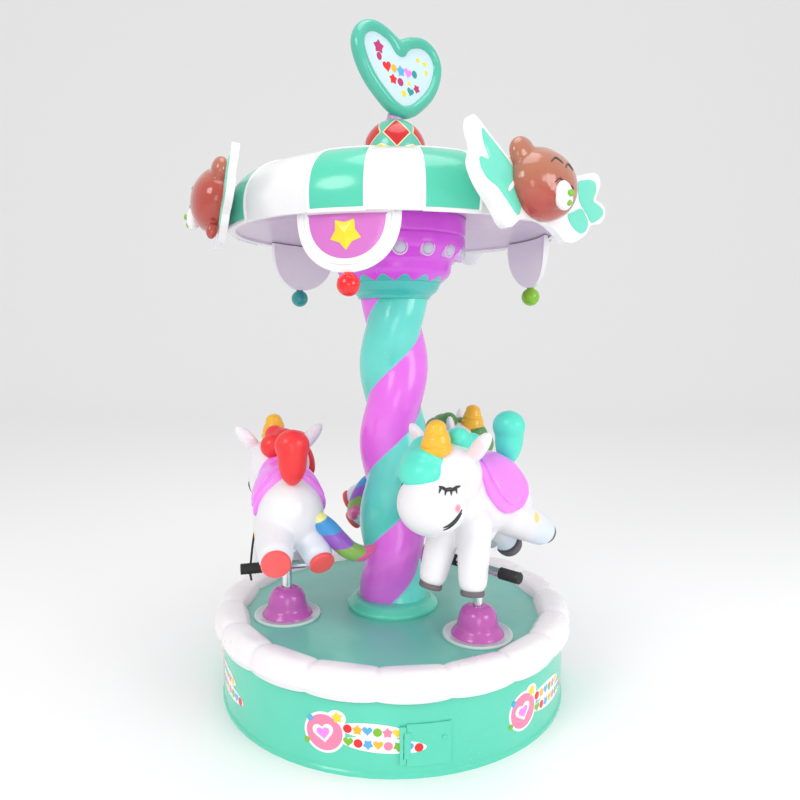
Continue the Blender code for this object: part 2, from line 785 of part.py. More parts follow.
def make_finial():
    """The ball on the canopy, the knob and the heart sign."""
    low = CANOPY_TOP + TOUCH
    profile = [(0.0, low)]
    flat = math.asin(KNOB_R / FINIAL_R)
    first = math.acos((low - FINIAL_Z) / FINIAL_R)
    for i in range(8):
        polar = first + (flat - first) * i / 7
        profile.append((FINIAL_R * math.sin(polar), FINIAL_Z + FINIAL_R * math.cos(polar)))
    top = profile[-1][1]
    place("finial_ball", turned(profile + [(0.0, top)], 20), "red")
    knob = [
        (0.0, top + TOUCH),
        (KNOB_R - 0.001, top + TOUCH),
        (KNOB_R, top + 0.004),
        (KNOB_R - 0.005, KNOB_TOP - 0.003),
        (KNOB_R - 0.011, KNOB_TOP),
        (0.0, KNOB_TOP),
    ]
    stand = Matrix.Rotation(math.radians(HEART_TURN), 4, "Z")
    stand = stand @ Matrix.Rotation(math.pi / 2 - math.radians(HEART_LEAN), 4, "X")
    solid = curve_mesh(outline("frame", [heart_loop(HEART_ROUND)], HEART_T, HEART_ROUND), stand)
    window = curve_mesh(outline("window", [heart_loop(HEART_RIM)], HEART_T * 2.0), stand)
    frame = combine(solid, [window], "DIFFERENCE")
    face = curve_mesh(outline("face", [heart_loop(HEART_RIM + 2 * TOUCH)], HEART_T * 0.45), stand)
    shift = Matrix.Translation((HEART_SIDE, 0.0, HEART_LOW - min(point.co.z for point in frame.vertices)))
    frame.transform(shift)
    face.transform(shift)
    socket = frame.copy()
    socket.transform(Matrix.Translation((0.0, 0.0, -TOUCH)))
    place("finial_knob", combine(turned(knob, 16), [socket], "DIFFERENCE"), "lilac")
    place("heart_frame", frame, "mint")
    place("heart_face", face, "ice")


# Unicorns, in their own frame: +X forwards, +Y away from the column, heights from the ground

TORSO = ((-0.025, 0.0, 0.638), (0.175, 0.090, 0.112))
RUMP = ((-0.095, 0.0, 0.622), (0.100, 0.100, 0.108))
NECK = ((0.090, 0.0, 0.670), (0.085, 0.074, 0.100))
SKULL = ((0.155, 0.0, 0.728), (0.098, 0.100, 0.094))
MUZZLE = ((0.218, 0.0, 0.660), (0.092, 0.098, 0.090))
SADDLE_T = 0.014
EARS = 0.070
BELLY_Z = 0.500
ROD_LOW = 0.150
FLANGE_R = 0.055
FLANGE_T = 0.012
REST_Z = 0.430
REST_R = 0.0135
REST_HALF = 0.140
TAIL_R = 0.026
TAIL_PATH = [
    (-0.135, -0.045, 0.650, 0.80),
    (-0.165, -0.062, 0.625, 1.00),
    (-0.190, -0.090, 0.585, 1.10),
    (-0.200, -0.130, 0.545, 1.05),
    (-0.190, -0.180, 0.522, 0.90),
    (-0.170, -0.225, 0.535, 0.55),
]


def legs(grow=0.0):
    """Four rounded legs: the hind pair stretched back, the front pair reaching down."""
    limbs = [
        ((-0.085, 0.048, 0.580), (-0.256, 0.044, 0.500), 0.064, 0.044),
        ((-0.080, -0.045, 0.570), (-0.166, -0.047, 0.462), 0.058, 0.042),
        ((0.080, 0.042, 0.590), (0.108, 0.060, 0.432), 0.052, 0.041),
        ((0.095, -0.042, 0.590), (0.140, -0.056, 0.432), 0.052, 0.041),
    ]
    return [bar(start, end, thick, thin, 8, grow) for start, end, thick, thin in limbs]


def horn_and_ears(grow=0.0):
    """The blunt horn on the forehead and two splayed ears."""
    made = [bar((0.176, 0.0, 0.780), (0.206, 0.0, 0.878), 0.042, 0.018, 10, grow)]
    for side in (-1.0, 1.0):
        base = (0.150, side * EARS, 0.770)
        tip = (0.150, side * (EARS + 0.055), 0.846)
        made.append(bar(base, tip, 0.026, 0.006, 6, grow))
    return made


def body_parts(grow=0.0):
    """The shapes that the white moulding is joined from, grown all round if asked."""
    trunk = [
        ball(*TORSO, segments=14, rings=9, grow=grow),
        ball(*RUMP, segments=12, rings=8, grow=grow),
        ball(*NECK, segments=8, rings=6, grow=grow),
        ball(*SKULL, segments=12, rings=8, grow=grow),
        ball(*MUZZLE, segments=10, rings=7, grow=grow),
        bar((0.0, 0.0, BELLY_Z), (0.0, 0.0, 0.560), 0.040, 0.040, 8, grow),
    ]
    return trunk + legs(grow) + horn_and_ears(grow)


def body_mesh():
    """The white moulding: torso, neck, head, legs, ears and horn."""
    first, *others = body_parts()
    return combine(first, others)


def mane_mesh():
    """The hair: forelock, crown and back mane as one lumpy strip, cut to sit on the head."""
    first, *others = [
        ball((0.205, -0.022, 0.764), (0.066, 0.084, 0.054), segments=10, rings=7),
        ball((0.150, -0.046, 0.806), (0.076, 0.046, 0.042), segments=8, rings=6),
        ball((0.140, 0.050, 0.806), (0.062, 0.046, 0.040), segments=8, rings=6),
        ball((0.100, 0.0, 0.800), (0.052, 0.066, 0.050), segments=8, rings=6),
    ]
    return combine(combine(first, others), body_parts(TOUCH) + [saddle_blank(TOUCH)], "DIFFERENCE")


def saddle_blank(grow=0.0):
    """The saddle before it is cut to sit on the body: a thick skin over the torso with round flaps."""
    middle, radii = TORSO
    shell = ball(middle, radii, segments=14, rings=9, grow=SADDLE_T + grow)
    bm = bmesh.new()
    bmesh.ops.create_cone(bm, cap_ends=True, segments=14, radius1=1.0, radius2=1.0, depth=0.5)
    flap = Matrix.Translation((-0.010, 0.0, 0.715)) @ Matrix.Rotation(math.pi / 2, 4, "X")
    bm.transform(flap @ Matrix.Diagonal([0.098 + grow, 0.118 + grow, 1.0, 1.0]))
    return combine(shell, [mesh_of(bm)], "INTERSECT")


def saddle_mesh():
    """The saddle on the torso."""
    return combine(saddle_blank(), body_parts(TOUCH), "DIFFERENCE")


def backrest_mesh():
    """The padded lump behind the rider, seated on the rump behind the saddle."""
    lump = ball((-0.146, 0.0, 0.798), (0.043, 0.045, 0.084), (0.0, -6.0, 0.0), 10, 8)
    return combine(lump, body_parts(TOUCH) + [saddle_blank(TOUCH)], "DIFFERENCE")


def tail_mesh():
    """The tail: a short fat curve that hangs from the rump and sweeps towards the column."""
    curve = bpy.data.curves.new("tail", "CURVE")
    curve.dimensions = "3D"
    curve.bevel_depth = TAIL_R
    curve.bevel_resolution = 2
    curve.use_fill_caps = True
    spline = curve.splines.new("POLY")
    spline.points.add(len(TAIL_PATH) - 1)
    for point, (x, y, z, size) in zip(spline.points, TAIL_PATH):
        point.co = (x, y, z, 1.0)
        point.radius = size
    tube = curve_mesh(curve, Matrix.Identity(4))
    return combine(tube, body_parts(TOUCH), "DIFFERENCE")


def rod_mesh():
    """The lift rod, its flange under the belly and the footrest bar across it."""
    under = BELLY_Z - TOUCH
    profile = [
        (0.0, ROD_LOW),
        (ROD_R, ROD_LOW),
        (ROD_R, under - 0.015),
        (FLANGE_R, under - FLANGE_T),
        (FLANGE_R, under),
        (0.0, under),
    ]
    rest = bar((0.0, -REST_HALF, REST_Z), (0.0, REST_HALF, REST_Z), REST_R, REST_R, 10)
    return combine(turned(profile, 16), [rest])


def housing_mesh():
    """The bell-shaped bush housing on the deck, round the rod."""
    low = DECK_Z + TOUCH
    bore = ROD_R + TOUCH
    profile = [
        (bore, low),
        (HOUSING_R, low),
        (HOUSING_R, low + 0.005),
        (HOUSING_R - 0.004, low + 0.008),
        (0.079, low + 0.008),
        (0.074, low + 0.016),
        (0.063, low + 0.028),
        (0.059, low + 0.050),
        (0.053, low + 0.072),
        (0.040, low + 0.088),
        (bore, low + 0.092),
    ]
    return turned(profile, 16)


def make_unicorns():
    """Three unicorns on their rods, and the housing that each rod runs in."""
    shapes = {
        "unicorn_body": (body_mesh(), "white"),
        "unicorn_mane": (mane_mesh(), None),
        "unicorn_saddle": (saddle_mesh(), "orchid"),
        "unicorn_backrest": (backrest_mesh(), None),
        "unicorn_tail": (tail_mesh(), "rainbow"),
        "lift_rod": (rod_mesh(), "chrome"),
    }
    housing = housing_mesh()
    for i, angle in enumerate(STATIONS):
        deck_hub = station(f"housing_station_{i + 1}", angle, RIDE_R)
        place(f"rod_housing_{i + 1}", housing, "violet", deck_hub)
        hub = station(f"unicorn_station_{i + 1}", angle, RIDE_R, RIDE_LIFT[i], 180.0)
        for name, (data, colour) in shapes.items():
            place(f"{name}_{i + 1}", data, colour or HAIR_PAINTS[i], hub)


clear_scene()
MODEL = collection("mini_carousel")
CUTTERS = collection("cutters")
make_base()
make_door()
make_frame()
make_floor()
make_rim()
make_column()
make_lights()
make_canopy()
make_scallops()
make_bears()
make_finial()
make_unicorns()
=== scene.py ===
"""Dresses the mini carousel: moulded shapes, painted shells, trim and a studio round its CAD frame."""

from __future__ import annotations

import json
import logging
from collections.abc import Callable, Iterable, Sequence
from dataclasses import dataclass, field
from enum import Enum
from math import asin, atan2, copysign, cos, degrees, dist, exp, hypot, pi, radians, sin, sqrt

import bmesh
import bpy
from mathutils import Matrix, Vector
from mathutils.bvhtree import BVHTree

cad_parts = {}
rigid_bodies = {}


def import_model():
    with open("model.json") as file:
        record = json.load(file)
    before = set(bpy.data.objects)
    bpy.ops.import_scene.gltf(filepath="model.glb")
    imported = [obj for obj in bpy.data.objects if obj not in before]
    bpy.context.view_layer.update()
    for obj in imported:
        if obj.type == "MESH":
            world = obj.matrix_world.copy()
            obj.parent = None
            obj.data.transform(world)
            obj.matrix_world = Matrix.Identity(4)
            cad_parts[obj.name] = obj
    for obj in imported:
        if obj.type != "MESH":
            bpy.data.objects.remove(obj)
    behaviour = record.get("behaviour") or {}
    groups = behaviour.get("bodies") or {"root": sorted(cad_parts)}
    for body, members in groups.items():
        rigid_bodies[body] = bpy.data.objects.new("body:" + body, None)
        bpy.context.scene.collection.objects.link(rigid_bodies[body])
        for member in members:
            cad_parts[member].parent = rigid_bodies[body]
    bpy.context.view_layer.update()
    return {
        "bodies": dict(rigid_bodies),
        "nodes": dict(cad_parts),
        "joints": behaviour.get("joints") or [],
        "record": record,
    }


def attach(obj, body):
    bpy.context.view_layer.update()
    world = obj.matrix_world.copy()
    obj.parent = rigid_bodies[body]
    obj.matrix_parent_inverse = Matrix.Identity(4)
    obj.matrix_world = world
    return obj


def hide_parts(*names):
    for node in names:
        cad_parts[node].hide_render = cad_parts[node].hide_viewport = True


LOG = logging.getLogger("carousel")

Mesh = bpy.types.Mesh
Node = bpy.types.Node
Shape = bmesh.types.BMesh
Socket = bpy.types.NodeSocket
Tree = bpy.types.NodeTree
Colour = tuple[float, float, float]
Flat = tuple[float, float]
Place = tuple[float, float, float]
Ball = tuple[Place, Place]
Leg = tuple[Place, Place, float, float]
Surface = Callable[[float, float, float], Vector]

STATIONS = (-73.5, 46.5, 166.5)
LIFTS = (-0.02, 0.027, -0.007)
SADDLE_R = 0.35
CREASE = 40.0
SOFT = 50.0
SMOOTH = 60.0
RUST = (0.22, 0.09, 0.04, 1.0)
GRIME = (0.42, 0.38, 0.36, 1.0)


class Part(Enum):
    """The moving bodies of the carousel."""

    BASE = "base"
    DOOR = "door"
    DECK = "turntable"
    RIDER_1 = "unicorn_1"
    RIDER_2 = "unicorn_2"
    RIDER_3 = "unicorn_3"


RIDERS = (Part.RIDER_1, Part.RIDER_2, Part.RIDER_3)


class Slot(Enum):
    """The finishes that the CAD record names."""

    STEEL = "steel"
    CHROME = "chrome"
    MINT = "mint_shell"
    CREAM = "cream_shell"
    WHITE = "white_shell"
    ORCHID = "orchid_shell"
    VIOLET = "violet_shell"
    LILAC = "lilac_shell"
    RED = "red_ball"
    LIME = "lime_ball"
    TEAL = "teal_ball"
    BROWN = "brown_shell"
    ICE = "ice_sheet"
    CORAL = "coral_shell"
    TURQUOISE = "turquoise_shell"
    GREEN = "green_shell"
    RAINBOW = "rainbow_shell"


# Shader groups


class Wiring:
    """Adds and links the nodes of one node tree."""

    def __init__(self, tree: Tree) -> None:
        """Keeps the tree.

        Args:
            tree: The node tree to build in.
        """
        self.tree = tree

    def add(self, kind: str, inputs: dict[str, object] | None = None, **values: object) -> Node:
        """Adds a node.

        Args:
            kind: The node's class name without its ShaderNode prefix, or in full.
            inputs: Sockets or plain values for the node's inputs.
            **values: Attributes of the node to set.

        Returns:
            The new node.
        """
        name = kind if kind.startswith("Node") else "ShaderNode" + kind
        node = self.tree.nodes.new(name)
        for key, value in values.items():
            setattr(node, key, value)
        for key, value in (inputs or {}).items():
            self.feed(node.inputs[key], value)
        return node

    def feed(self, target: Socket, source: object) -> None:
        """Links a socket, or sets it where the source is a plain value.

        Args:
            target: The socket to feed.
            source: Another socket or a plain value.
        """
        if isinstance(source, Socket):
            self.tree.links.new(source, target)
        else:
            target.default_value = source

    def noise(self, where: object, scale: float, detail: float = 2.0, rough: float = 0.5) -> Socket:
        """A noise value between 0 and 1.

        Args:
            where: The coordinates' socket.
            scale: Cells to a metre.
            detail: Octaves.
            rough: How strong the finer octaves are.

        Returns:
            The value's socket.
        """
        values = {"Vector": where, "Scale": scale, "Detail": detail, "Roughness": rough}
        return self.add("TexNoise", values).outputs["Fac"]

    def stretched(self, where: object, scale: Place, turn: Place = (0.0, 0.0, 0.0)) -> Socket:
        """Coordinates with their axes stretched and turned.

        Args:
            where: The coordinates' socket.
            scale: The three axes' scales.
            turn: Radians about the three axes.

        Returns:
            The new coordinates' socket.
        """
        return self.add("Mapping", {"Vector": where, "Scale": scale, "Rotation": turn}).outputs["Vector"]

    def span(self, value: object, low: float, high: float) -> Socket:
        """Maps a range smoothly to 0 and 1 and clamps it.

        Args:
            value: The socket to map.
            low: Where the result is 0.
            high: Where the result is 1.

        Returns:
            The result's socket.
        """
        values = {"Value": value, "From Min": low, "From Max": high}
        return self.add("MapRange", values, interpolation_type="SMOOTHSTEP").outputs["Result"]

    def sum(self, first: object, second: object, operation: str = "ADD") -> Socket:
        """Combines two numbers.

        Args:
            first: A socket or number.
            second: A socket or number.
            operation: The Math node's operation.

        Returns:
            The result's socket.
        """
        node = self.add("Math", operation=operation)
        self.feed(node.inputs[0], first)
        self.feed(node.inputs[1], second)
        return node.outputs["Value"]

    def times(self, first: object, second: object) -> Socket:
        """Multiplies two numbers."""
        return self.sum(first, second, "MULTIPLY")

    def mix(self, share: object, first: object, second: object) -> Socket:
        """Mixes two colours.

        Args:
            share: How much of the second there is.
            first: A colour socket, or red, green, blue and alpha.
            second: The other colour.

        Returns:
            The mixed colour's socket.
        """
        values = {"Factor": share, "A": first, "B": second}
        return self.add("Mix", values, data_type="RGBA", blend_type="MIX").outputs["Result"]


def shader_group(name: str, inputs: dict[str, object]) -> tuple[Wiring, Node, Node]:
    """Starts a shader group that puts out a colour, a roughness and a height.

    Args:
        name: The group's name.
        inputs: The default of each input: four numbers for a colour, else one.

    Returns:
        The group's wiring, the node of its inputs and the node of its outputs.
    """
    group = bpy.data.node_groups.new(name, "ShaderNodeTree")
    for title, value in inputs.items():
        kind = "NodeSocketFloat" if isinstance(value, float) else "NodeSocketColor"
        group.interface.new_socket(title, in_out="INPUT", socket_type=kind).default_value = value
    for title, kind in (("Colour", "Color"), ("Roughness", "Float"), ("Height", "Float")):
        group.interface.new_socket(title, in_out="OUTPUT", socket_type="NodeSocket" + kind)
    wire = Wiring(group)
    return wire, wire.add("NodeGroupInput"), wire.add("NodeGroupOutput")


def moulded_shell() -> Tree:
    """The shader group of hand-laid gelcoat: mottled colour, dull scuffs, dust and a faint orange peel.

    Returns:
        The node group, made once.
    """
    found = bpy.data.node_groups.get("moulded_shell")
    if found:
        return found
    values = {
        "Colour": (0.8, 0.8, 0.8, 1.0),
        "Shade": (0.6, 0.6, 0.6, 1.0),
        "Mottle": 0.35,
        "Dust": 0.15,
        "Gloss": 0.22,
    }
    wire, given, made = shader_group("moulded_shell", values)
    where = wire.add("TexCoord").outputs["Object"]
    cloud = wire.span(wire.noise(where, 5.0, 3.0), 0.32, 0.72)
    mottled = wire.times(cloud, given.outputs["Mottle"])
    tinted = wire.mix(mottled, given.outputs["Colour"], given.outputs["Shade"])
    specks = wire.span(wire.noise(where, 34.0, 7.0, 0.62), 0.56, 0.8)
    dusty = wire.times(specks, given.outputs["Dust"])
    grain = wire.stretched(where, (1.0, 1.0, 9.0), (0.6, 0.4, 0.0))
    scuffed = wire.times(wire.span(wire.noise(grain, 55.0, 4.0, 0.7), 0.62, 0.78), 0.16)
    worn = wire.sum(wire.times(cloud, 0.07), wire.times(dusty, 0.5))
    peel = wire.times(wire.noise(where, 260.0, 1.0), 0.1)
    wave = wire.noise(where, 16.0, 1.0)
    wire.feed(made.inputs["Colour"], wire.mix(dusty, tinted, GRIME))
    wire.feed(made.inputs["Roughness"], wire.sum(wire.sum(given.outputs["Gloss"], scuffed), worn))
    wire.feed(made.inputs["Height"], wire.sum(peel, wave))
    return wire.tree


def brushed_metal() -> Tree:
    """The shader group of turned or painted metal: fine rings of tool marks, smears and specks of rust.

    Returns:
        The node group, made once.
    """
    found = bpy.data.node_groups.get("brushed_metal")
    if found:
        return found
    values = {"Colour": (0.7, 0.7, 0.7, 1.0), "Rust": 0.1, "Gloss": 0.2}
    wire, given, made = shader_group("brushed_metal", values)
    where = wire.add("TexCoord").outputs["Object"]
    rings = wire.noise(wire.stretched(where, (0.2, 0.2, 9.0)), 120.0, 2.0)
    smear = wire.noise(where, 22.0, 4.0)
    specks = wire.span(wire.noise(where, 60.0, 8.0, 0.7), 0.6, 0.75)
    rust = wire.times(specks, given.outputs["Rust"])
    dull = wire.sum(wire.times(smear, 0.16), wire.times(rust, 0.5))
    wire.feed(made.inputs["Colour"], wire.mix(rust, given.outputs["Colour"], RUST))
    wire.feed(made.inputs["Roughness"], wire.sum(given.outputs["Gloss"], dull))
    wire.feed(made.inputs["Height"], rings)
    return wire.tree


# Finishes


def rgba(colour: Colour) -> tuple[float, float, float, float]:
    """A colour with a full alpha."""
    return (*colour, 1.0)


@dataclass(frozen=True)
class Layer:
    """A painted area over a shell, inside the line where a vertex attribute passes zero.

    The attribute holds a distance in metres, positive inside.
    """

    attribute: str
    colour: Colour
    soft: float = 0.0007


def covered(wire: Wiring, group: Tree, values: dict[str, object], relief: float, depth: float) -> Node:
    """Feeds a shader group and its relief into a material's shader.

    Args:
        wire: The material's nodes.
        group: The shader group.
        values: A socket or a plain value for each input of the group.
        relief: How strong the relief is.
        depth: How deep it is, in metres.

    Returns:
        The material's shader.
    """
    shader = wire.tree.nodes["Principled BSDF"]
    cover = wire.add("Group", values, node_tree=group)
    bumps = {"Strength": relief, "Distance": depth, "Height": cover.outputs["Height"]}
    bump = wire.add("Bump", bumps)
    wire.feed(shader.inputs["Base Color"], cover.outputs["Colour"])
    wire.feed(shader.inputs["Roughness"], cover.outputs["Roughness"])
    wire.feed(shader.inputs["Normal"], bump.outputs["Normal"])
    return shader


@dataclass(frozen=True)
class Finish:
    """What a piece is finished with."""

    name: str
    colour: Colour

    def material(self) -> bpy.types.Material:
        """The finish's material, made once."""
        found = bpy.data.materials.get(self.name)
        if found:
            return found
        made = bpy.data.materials.new(self.name)
        made.use_nodes = True
        self.wire_up(Wiring(made.node_tree))
        return made

    def wire_up(self, wire: Wiring) -> None:
        """Adds the finish's nodes to its material.

        Args:
            wire: The material's nodes.
        """
        raise NotImplementedError


@dataclass(frozen=True)
class Gelcoat(Finish):
    """A glossy moulded shell in one colour, with painted layers over it."""

    shade: Colour
    layers: tuple[Layer, ...] = ()
    gloss: float = 0.2
    mottle: float = 0.35
    dust: float = 0.1
    coat: float = 0.35
    ripple: float = 0.05
    darker: float = 0.82

    def wire_up(self, wire: Wiring) -> None:
        """Adds the shell's nodes to its material.

        Args:
            wire: The material's nodes.
        """
        colour: object = rgba(self.colour)
        shade: object = rgba(self.shade)
        for layer in self.layers:
            reader = wire.add("Attribute", attribute_name=layer.attribute, attribute_type="GEOMETRY")
            mask = wire.span(reader.outputs["Fac"], -layer.soft, layer.soft)
            colour = wire.mix(mask, colour, rgba(layer.colour))
            shade = wire.mix(mask, shade, rgba(tuple(part * self.darker for part in layer.colour)))
        values = {
            "Colour": colour,
            "Shade": shade,
            "Mottle": self.mottle,
            "Dust": self.dust,
            "Gloss": self.gloss,
        }
        shader = covered(wire, moulded_shell(), values, self.ripple, 0.02)
        shader.inputs["Coat Weight"].default_value = self.coat
        shader.inputs["Coat Roughness"].default_value = 0.06
        shader.inputs["IOR"].default_value = 1.5


@dataclass(frozen=True)
class Metal(Finish):
    """Bare, chromed or painted metal."""

    gloss: float = 0.12
    rust: float = 0.05
    metallic: float = 1.0

    def wire_up(self, wire: Wiring) -> None:
        """Adds the metal's nodes to its material.

        Args:
            wire: The material's nodes.
        """
        values = {"Colour": rgba(self.colour), "Rust": self.rust, "Gloss": self.gloss}
        shader = covered(wire, brushed_metal(), values, 0.04, 0.001)
        shader.inputs["Metallic"].default_value = self.metallic


MINT = Gelcoat("mint_gelcoat", (0.115, 0.68, 0.49), (0.075, 0.58, 0.41))
MINT_DARK = Gelcoat("mint_gelcoat_sign", (0.075, 0.5, 0.37), (0.05, 0.42, 0.31), gloss=0.16)
MINT_DECK = Gelcoat("mint_gelcoat_deck", (0.16, 0.56, 0.46), (0.12, 0.47, 0.38), dust=0.22, gloss=0.3)
MINT_STRIPE = Gelcoat("mint_stripe", (0.085, 0.62, 0.43), (0.06, 0.53, 0.36))
MINT_WING = Gelcoat("mint_wing", (0.15, 0.74, 0.56), (0.1, 0.64, 0.47))
CREAM = Gelcoat("cream_gelcoat", (0.93, 0.9, 0.91), (0.86, 0.8, 0.85), dust=0.14, gloss=0.26)
WHITE = Gelcoat("white_gelcoat", (0.9, 0.9, 0.9), (0.84, 0.82, 0.86), dust=0.08)
ORCHID_FIELD = Gelcoat("orchid_field", (0.66, 0.17, 0.58), (0.6, 0.14, 0.54))
ORCHID = Gelcoat("orchid_saddle", (0.93, 0.26, 0.95), (0.84, 0.2, 0.88), gloss=0.3)
LILAC = Gelcoat("lilac_gelcoat", (0.66, 0.55, 0.7), (0.58, 0.47, 0.63), gloss=0.3, dust=0.16)
LILAC_KNOB = Gelcoat("lilac_knob", (0.6, 0.38, 0.66), (0.52, 0.3, 0.58))
BELL = Gelcoat("bell_gelcoat", (0.57, 0.11, 0.47), (0.48, 0.08, 0.4))
DISH = Gelcoat("dish_gelcoat", (0.62, 0.74, 0.71), (0.54, 0.66, 0.64), dust=0.2)
YELLOW = Gelcoat("yellow_gelcoat", (0.97, 0.72, 0.02), (0.92, 0.6, 0.01))
GOLD = Gelcoat("horn_gelcoat", (0.92, 0.5, 0.02), (0.88, 0.4, 0.01), gloss=0.3)
PINK = Gelcoat("pink_gelcoat", (0.9, 0.24, 0.42), (0.85, 0.18, 0.36))
BERRY = Gelcoat("berry_gelcoat", (0.56, 0.02, 0.16), (0.46, 0.015, 0.13))
SKY = Gelcoat("sky_gelcoat", (0.1, 0.45, 0.8), (0.08, 0.38, 0.72))
RED = Gelcoat("red_gelcoat", (0.86, 0.008, 0.012), (0.72, 0.006, 0.01), gloss=0.14)
LIME = Gelcoat("lime_gelcoat", (0.22, 0.52, 0.012), (0.17, 0.44, 0.01))
TEAL = Gelcoat("teal_gelcoat", (0.01, 0.33, 0.32), (0.008, 0.27, 0.26))
CORAL = Gelcoat("coral_hair", (0.9, 0.03, 0.033), (0.8, 0.022, 0.03), gloss=0.34, coat=0.15)
TURQUOISE = Gelcoat("turquoise_hair", (0.1, 0.8, 0.62), (0.08, 0.68, 0.52), gloss=0.34, coat=0.15)
LEAF = Gelcoat("green_hair", (0.1, 0.3, 0.08), (0.07, 0.24, 0.05), gloss=0.34, coat=0.15)
ICE = Gelcoat("ice_sheet", (0.62, 0.75, 0.8), (0.57, 0.7, 0.77), gloss=0.35, coat=0.2)
VINYL = Gelcoat("white_vinyl", (0.93, 0.94, 0.94), (0.88, 0.9, 0.91), gloss=0.3, coat=0.2, ripple=0.02)
INK = Gelcoat("black_paint", (0.012, 0.012, 0.014), (0.02, 0.02, 0.022), gloss=0.3)
RUBBER = Gelcoat("black_rubber", (0.012, 0.012, 0.012), (0.025, 0.024, 0.023), gloss=0.55, dust=0.2, coat=0)
# painted shade: dark grey stands for the second unicorn's hooves seen in shadow, on real hoof pads
PAD_PAINTED_SHADE = Gelcoat("grey_pad", (0.15, 0.13, 0.14), (0.11, 0.09, 0.1), gloss=0.5, coat=0.0)
CORAL_PAD = Gelcoat("coral_pad", (0.93, 0.1, 0.1), (0.8, 0.05, 0.06), gloss=0.35)
LENS = Gelcoat("lamp_lens", (0.6, 0.57, 0.7), (0.52, 0.5, 0.64), gloss=0.08, coat=0.9)
BEZEL = Gelcoat("lamp_bezel", (0.82, 0.56, 0.86), (0.74, 0.46, 0.8), gloss=0.16)
CHROME = Metal("chrome_rod", (0.8, 0.81, 0.83), 0.06, 0.02)
STEEL = Metal("painted_steel", (0.42, 0.43, 0.45), 0.38, 0.25, 0.6)
STRANDS = Gelcoat(
    "column_strands", (0.92, 0.2, 0.9), (0.8, 0.13, 0.8),
    (Layer("mint_strand", (0.145, 0.79, 0.68), 0.0025),), mottle=0.7,
)
NECK = Gelcoat("neck_gelcoat", (0.06, 0.55, 0.5), (0.045, 0.46, 0.42))
COLLAR = Gelcoat(
    "collar_violet", (0.06, 0.55, 0.5), (0.045, 0.46, 0.42),
    (Layer("above_wave", (0.74, 0.085, 0.8)),),
)
# the inside layer paints the rim's inner face a darker lilac: the underside's colour, deepened by painted
# shade under the canopy
DOME = Gelcoat(
    "canopy_white", (0.84, 0.84, 0.845), (0.78, 0.76, 0.8), (Layer("inside", (0.5, 0.4, 0.54)),),
    dust=0.08,
)
BEAR = Gelcoat(
    "bear_brown", (0.46, 0.16, 0.088), (0.4, 0.125, 0.068),
    (Layer("low", (0.46, 0.055, 0.035), 0.055),), gloss=0.14, coat=0.6,
)
HIDE = Gelcoat(
    "unicorn_white",
    (0.86, 0.85, 0.87), (0.79, 0.77, 0.83),
    (
        # painted shade: a bluish tint on the lower hind legs, where shade falls on the white hide
        Layer("haunch", (0.72, 0.81, 0.92), 0.05),
        Layer("blush", (0.95, 0.3, 0.42), 0.004),
        Layer("spot", (0.98, 0.74, 0.22), 0.003),
        Layer("ear_lining", (0.9, 0.76, 0.81), 0.004),
    ),
    gloss=0.3,
    dust=0.05,
    coat=0.2,
)
TAIL = Gelcoat(
    "rainbow_tail",
    (0.88, 0.9, 0.3), (0.8, 0.8, 0.24),
    (
        Layer("band_1", (0.05, 0.32, 0.7), 0.003),
        Layer("band_2", (0.3, 0.1, 0.55), 0.003),
        Layer("band_3", (0.24, 0.46, 0.08), 0.003),
        Layer("band_4", (0.84, 0.12, 0.38), 0.003),
    ),
    gloss=0.3,
)
HARLEQUIN = Gelcoat(
    "finial_harlequin",
    (0.125, 0.53, 0.4), (0.1, 0.45, 0.34),
    (
        Layer("diamond_line", (0.92, 0.8, 0.42)),
        Layer("diamond", (0.62, 0.01, 0.014)),
        Layer("foot_line", (0.92, 0.84, 0.62)),
        Layer("foot", (0.92, 0.66, 0.05)),
    ),
    gloss=0.14,
)


# Mesh tools


def outward(bm: Shape) -> Shape:
    """Merges doubles and turns a closed mesh's faces outwards.

    Args:
        bm: The shape.

    Returns:
        The same shape.
    """
    bmesh.ops.remove_doubles(bm, verts=bm.verts, dist=0.00002)
    bmesh.ops.recalc_face_normals(bm, faces=bm.faces)
    if bm.calc_volume(signed=True) < 0.0:
        bmesh.ops.reverse_faces(bm, faces=bm.faces)
    return bm


def lathe(profile: Sequence[Flat], steps: int) -> Shape:
    """Turns a profile about the Z axis.

    Args:
        profile: Radius and height points: a closed loop, or an open line that starts and ends on the axis.
        steps: How many steps there are round the turn.

    Returns:
        The closed shape.
    """
    bm = bmesh.new()
    points = [bm.verts.new((radius, 0.0, height)) for radius, height in profile]
    loop = min(radius for radius, _ in profile) > 0.0
    ends = points[1:] + points[:1] if loop else points[1:]
    edges = [bm.edges.new(pair) for pair in zip(points, ends)]
    bmesh.ops.spin(
        bm, geom=points + edges, cent=(0.0, 0.0, 0.0), axis=(0.0, 0.0, 1.0), angle=2.0 * pi,
        steps=steps, use_merge=True,
    )
    return outward(bm)


def rounded(points: Sequence[Sequence[float]], count: int, closed: bool = False) -> list[tuple[float, ...]]:
    """Resamples a line through its points with a smooth curve.

    Args:
        points: The points, of any dimension.
        count: Samples between each point and the next.
        closed: Whether the line comes back to its start.

    Returns:
        The smooth line's points.
    """
    total = len(points)
    spans = total if closed else total - 1
    made = []
    for i in range(spans):
        if closed:
            a, b, c, d = (points[(i + k) % total] for k in (-1, 0, 1, 2))
        else:
            a, b, c, d = (points[max(0, min(total - 1, i + k))] for k in (-1, 0, 1, 2))
        for j in range(count):
            t = j / count
            made.append(
                tuple(
                    0.5
                    * (
                        2 * q
                        + (r - p) * t
                        + (2 * p - 5 * q + 4 * r - s) * t * t
                        + (3 * q - p - 3 * r + s) * t**3
                    )
                    for p, q, r, s in zip(a, b, c, d)
                )
            )
    if not closed:
        made.append(tuple(points[-1]))
    return made


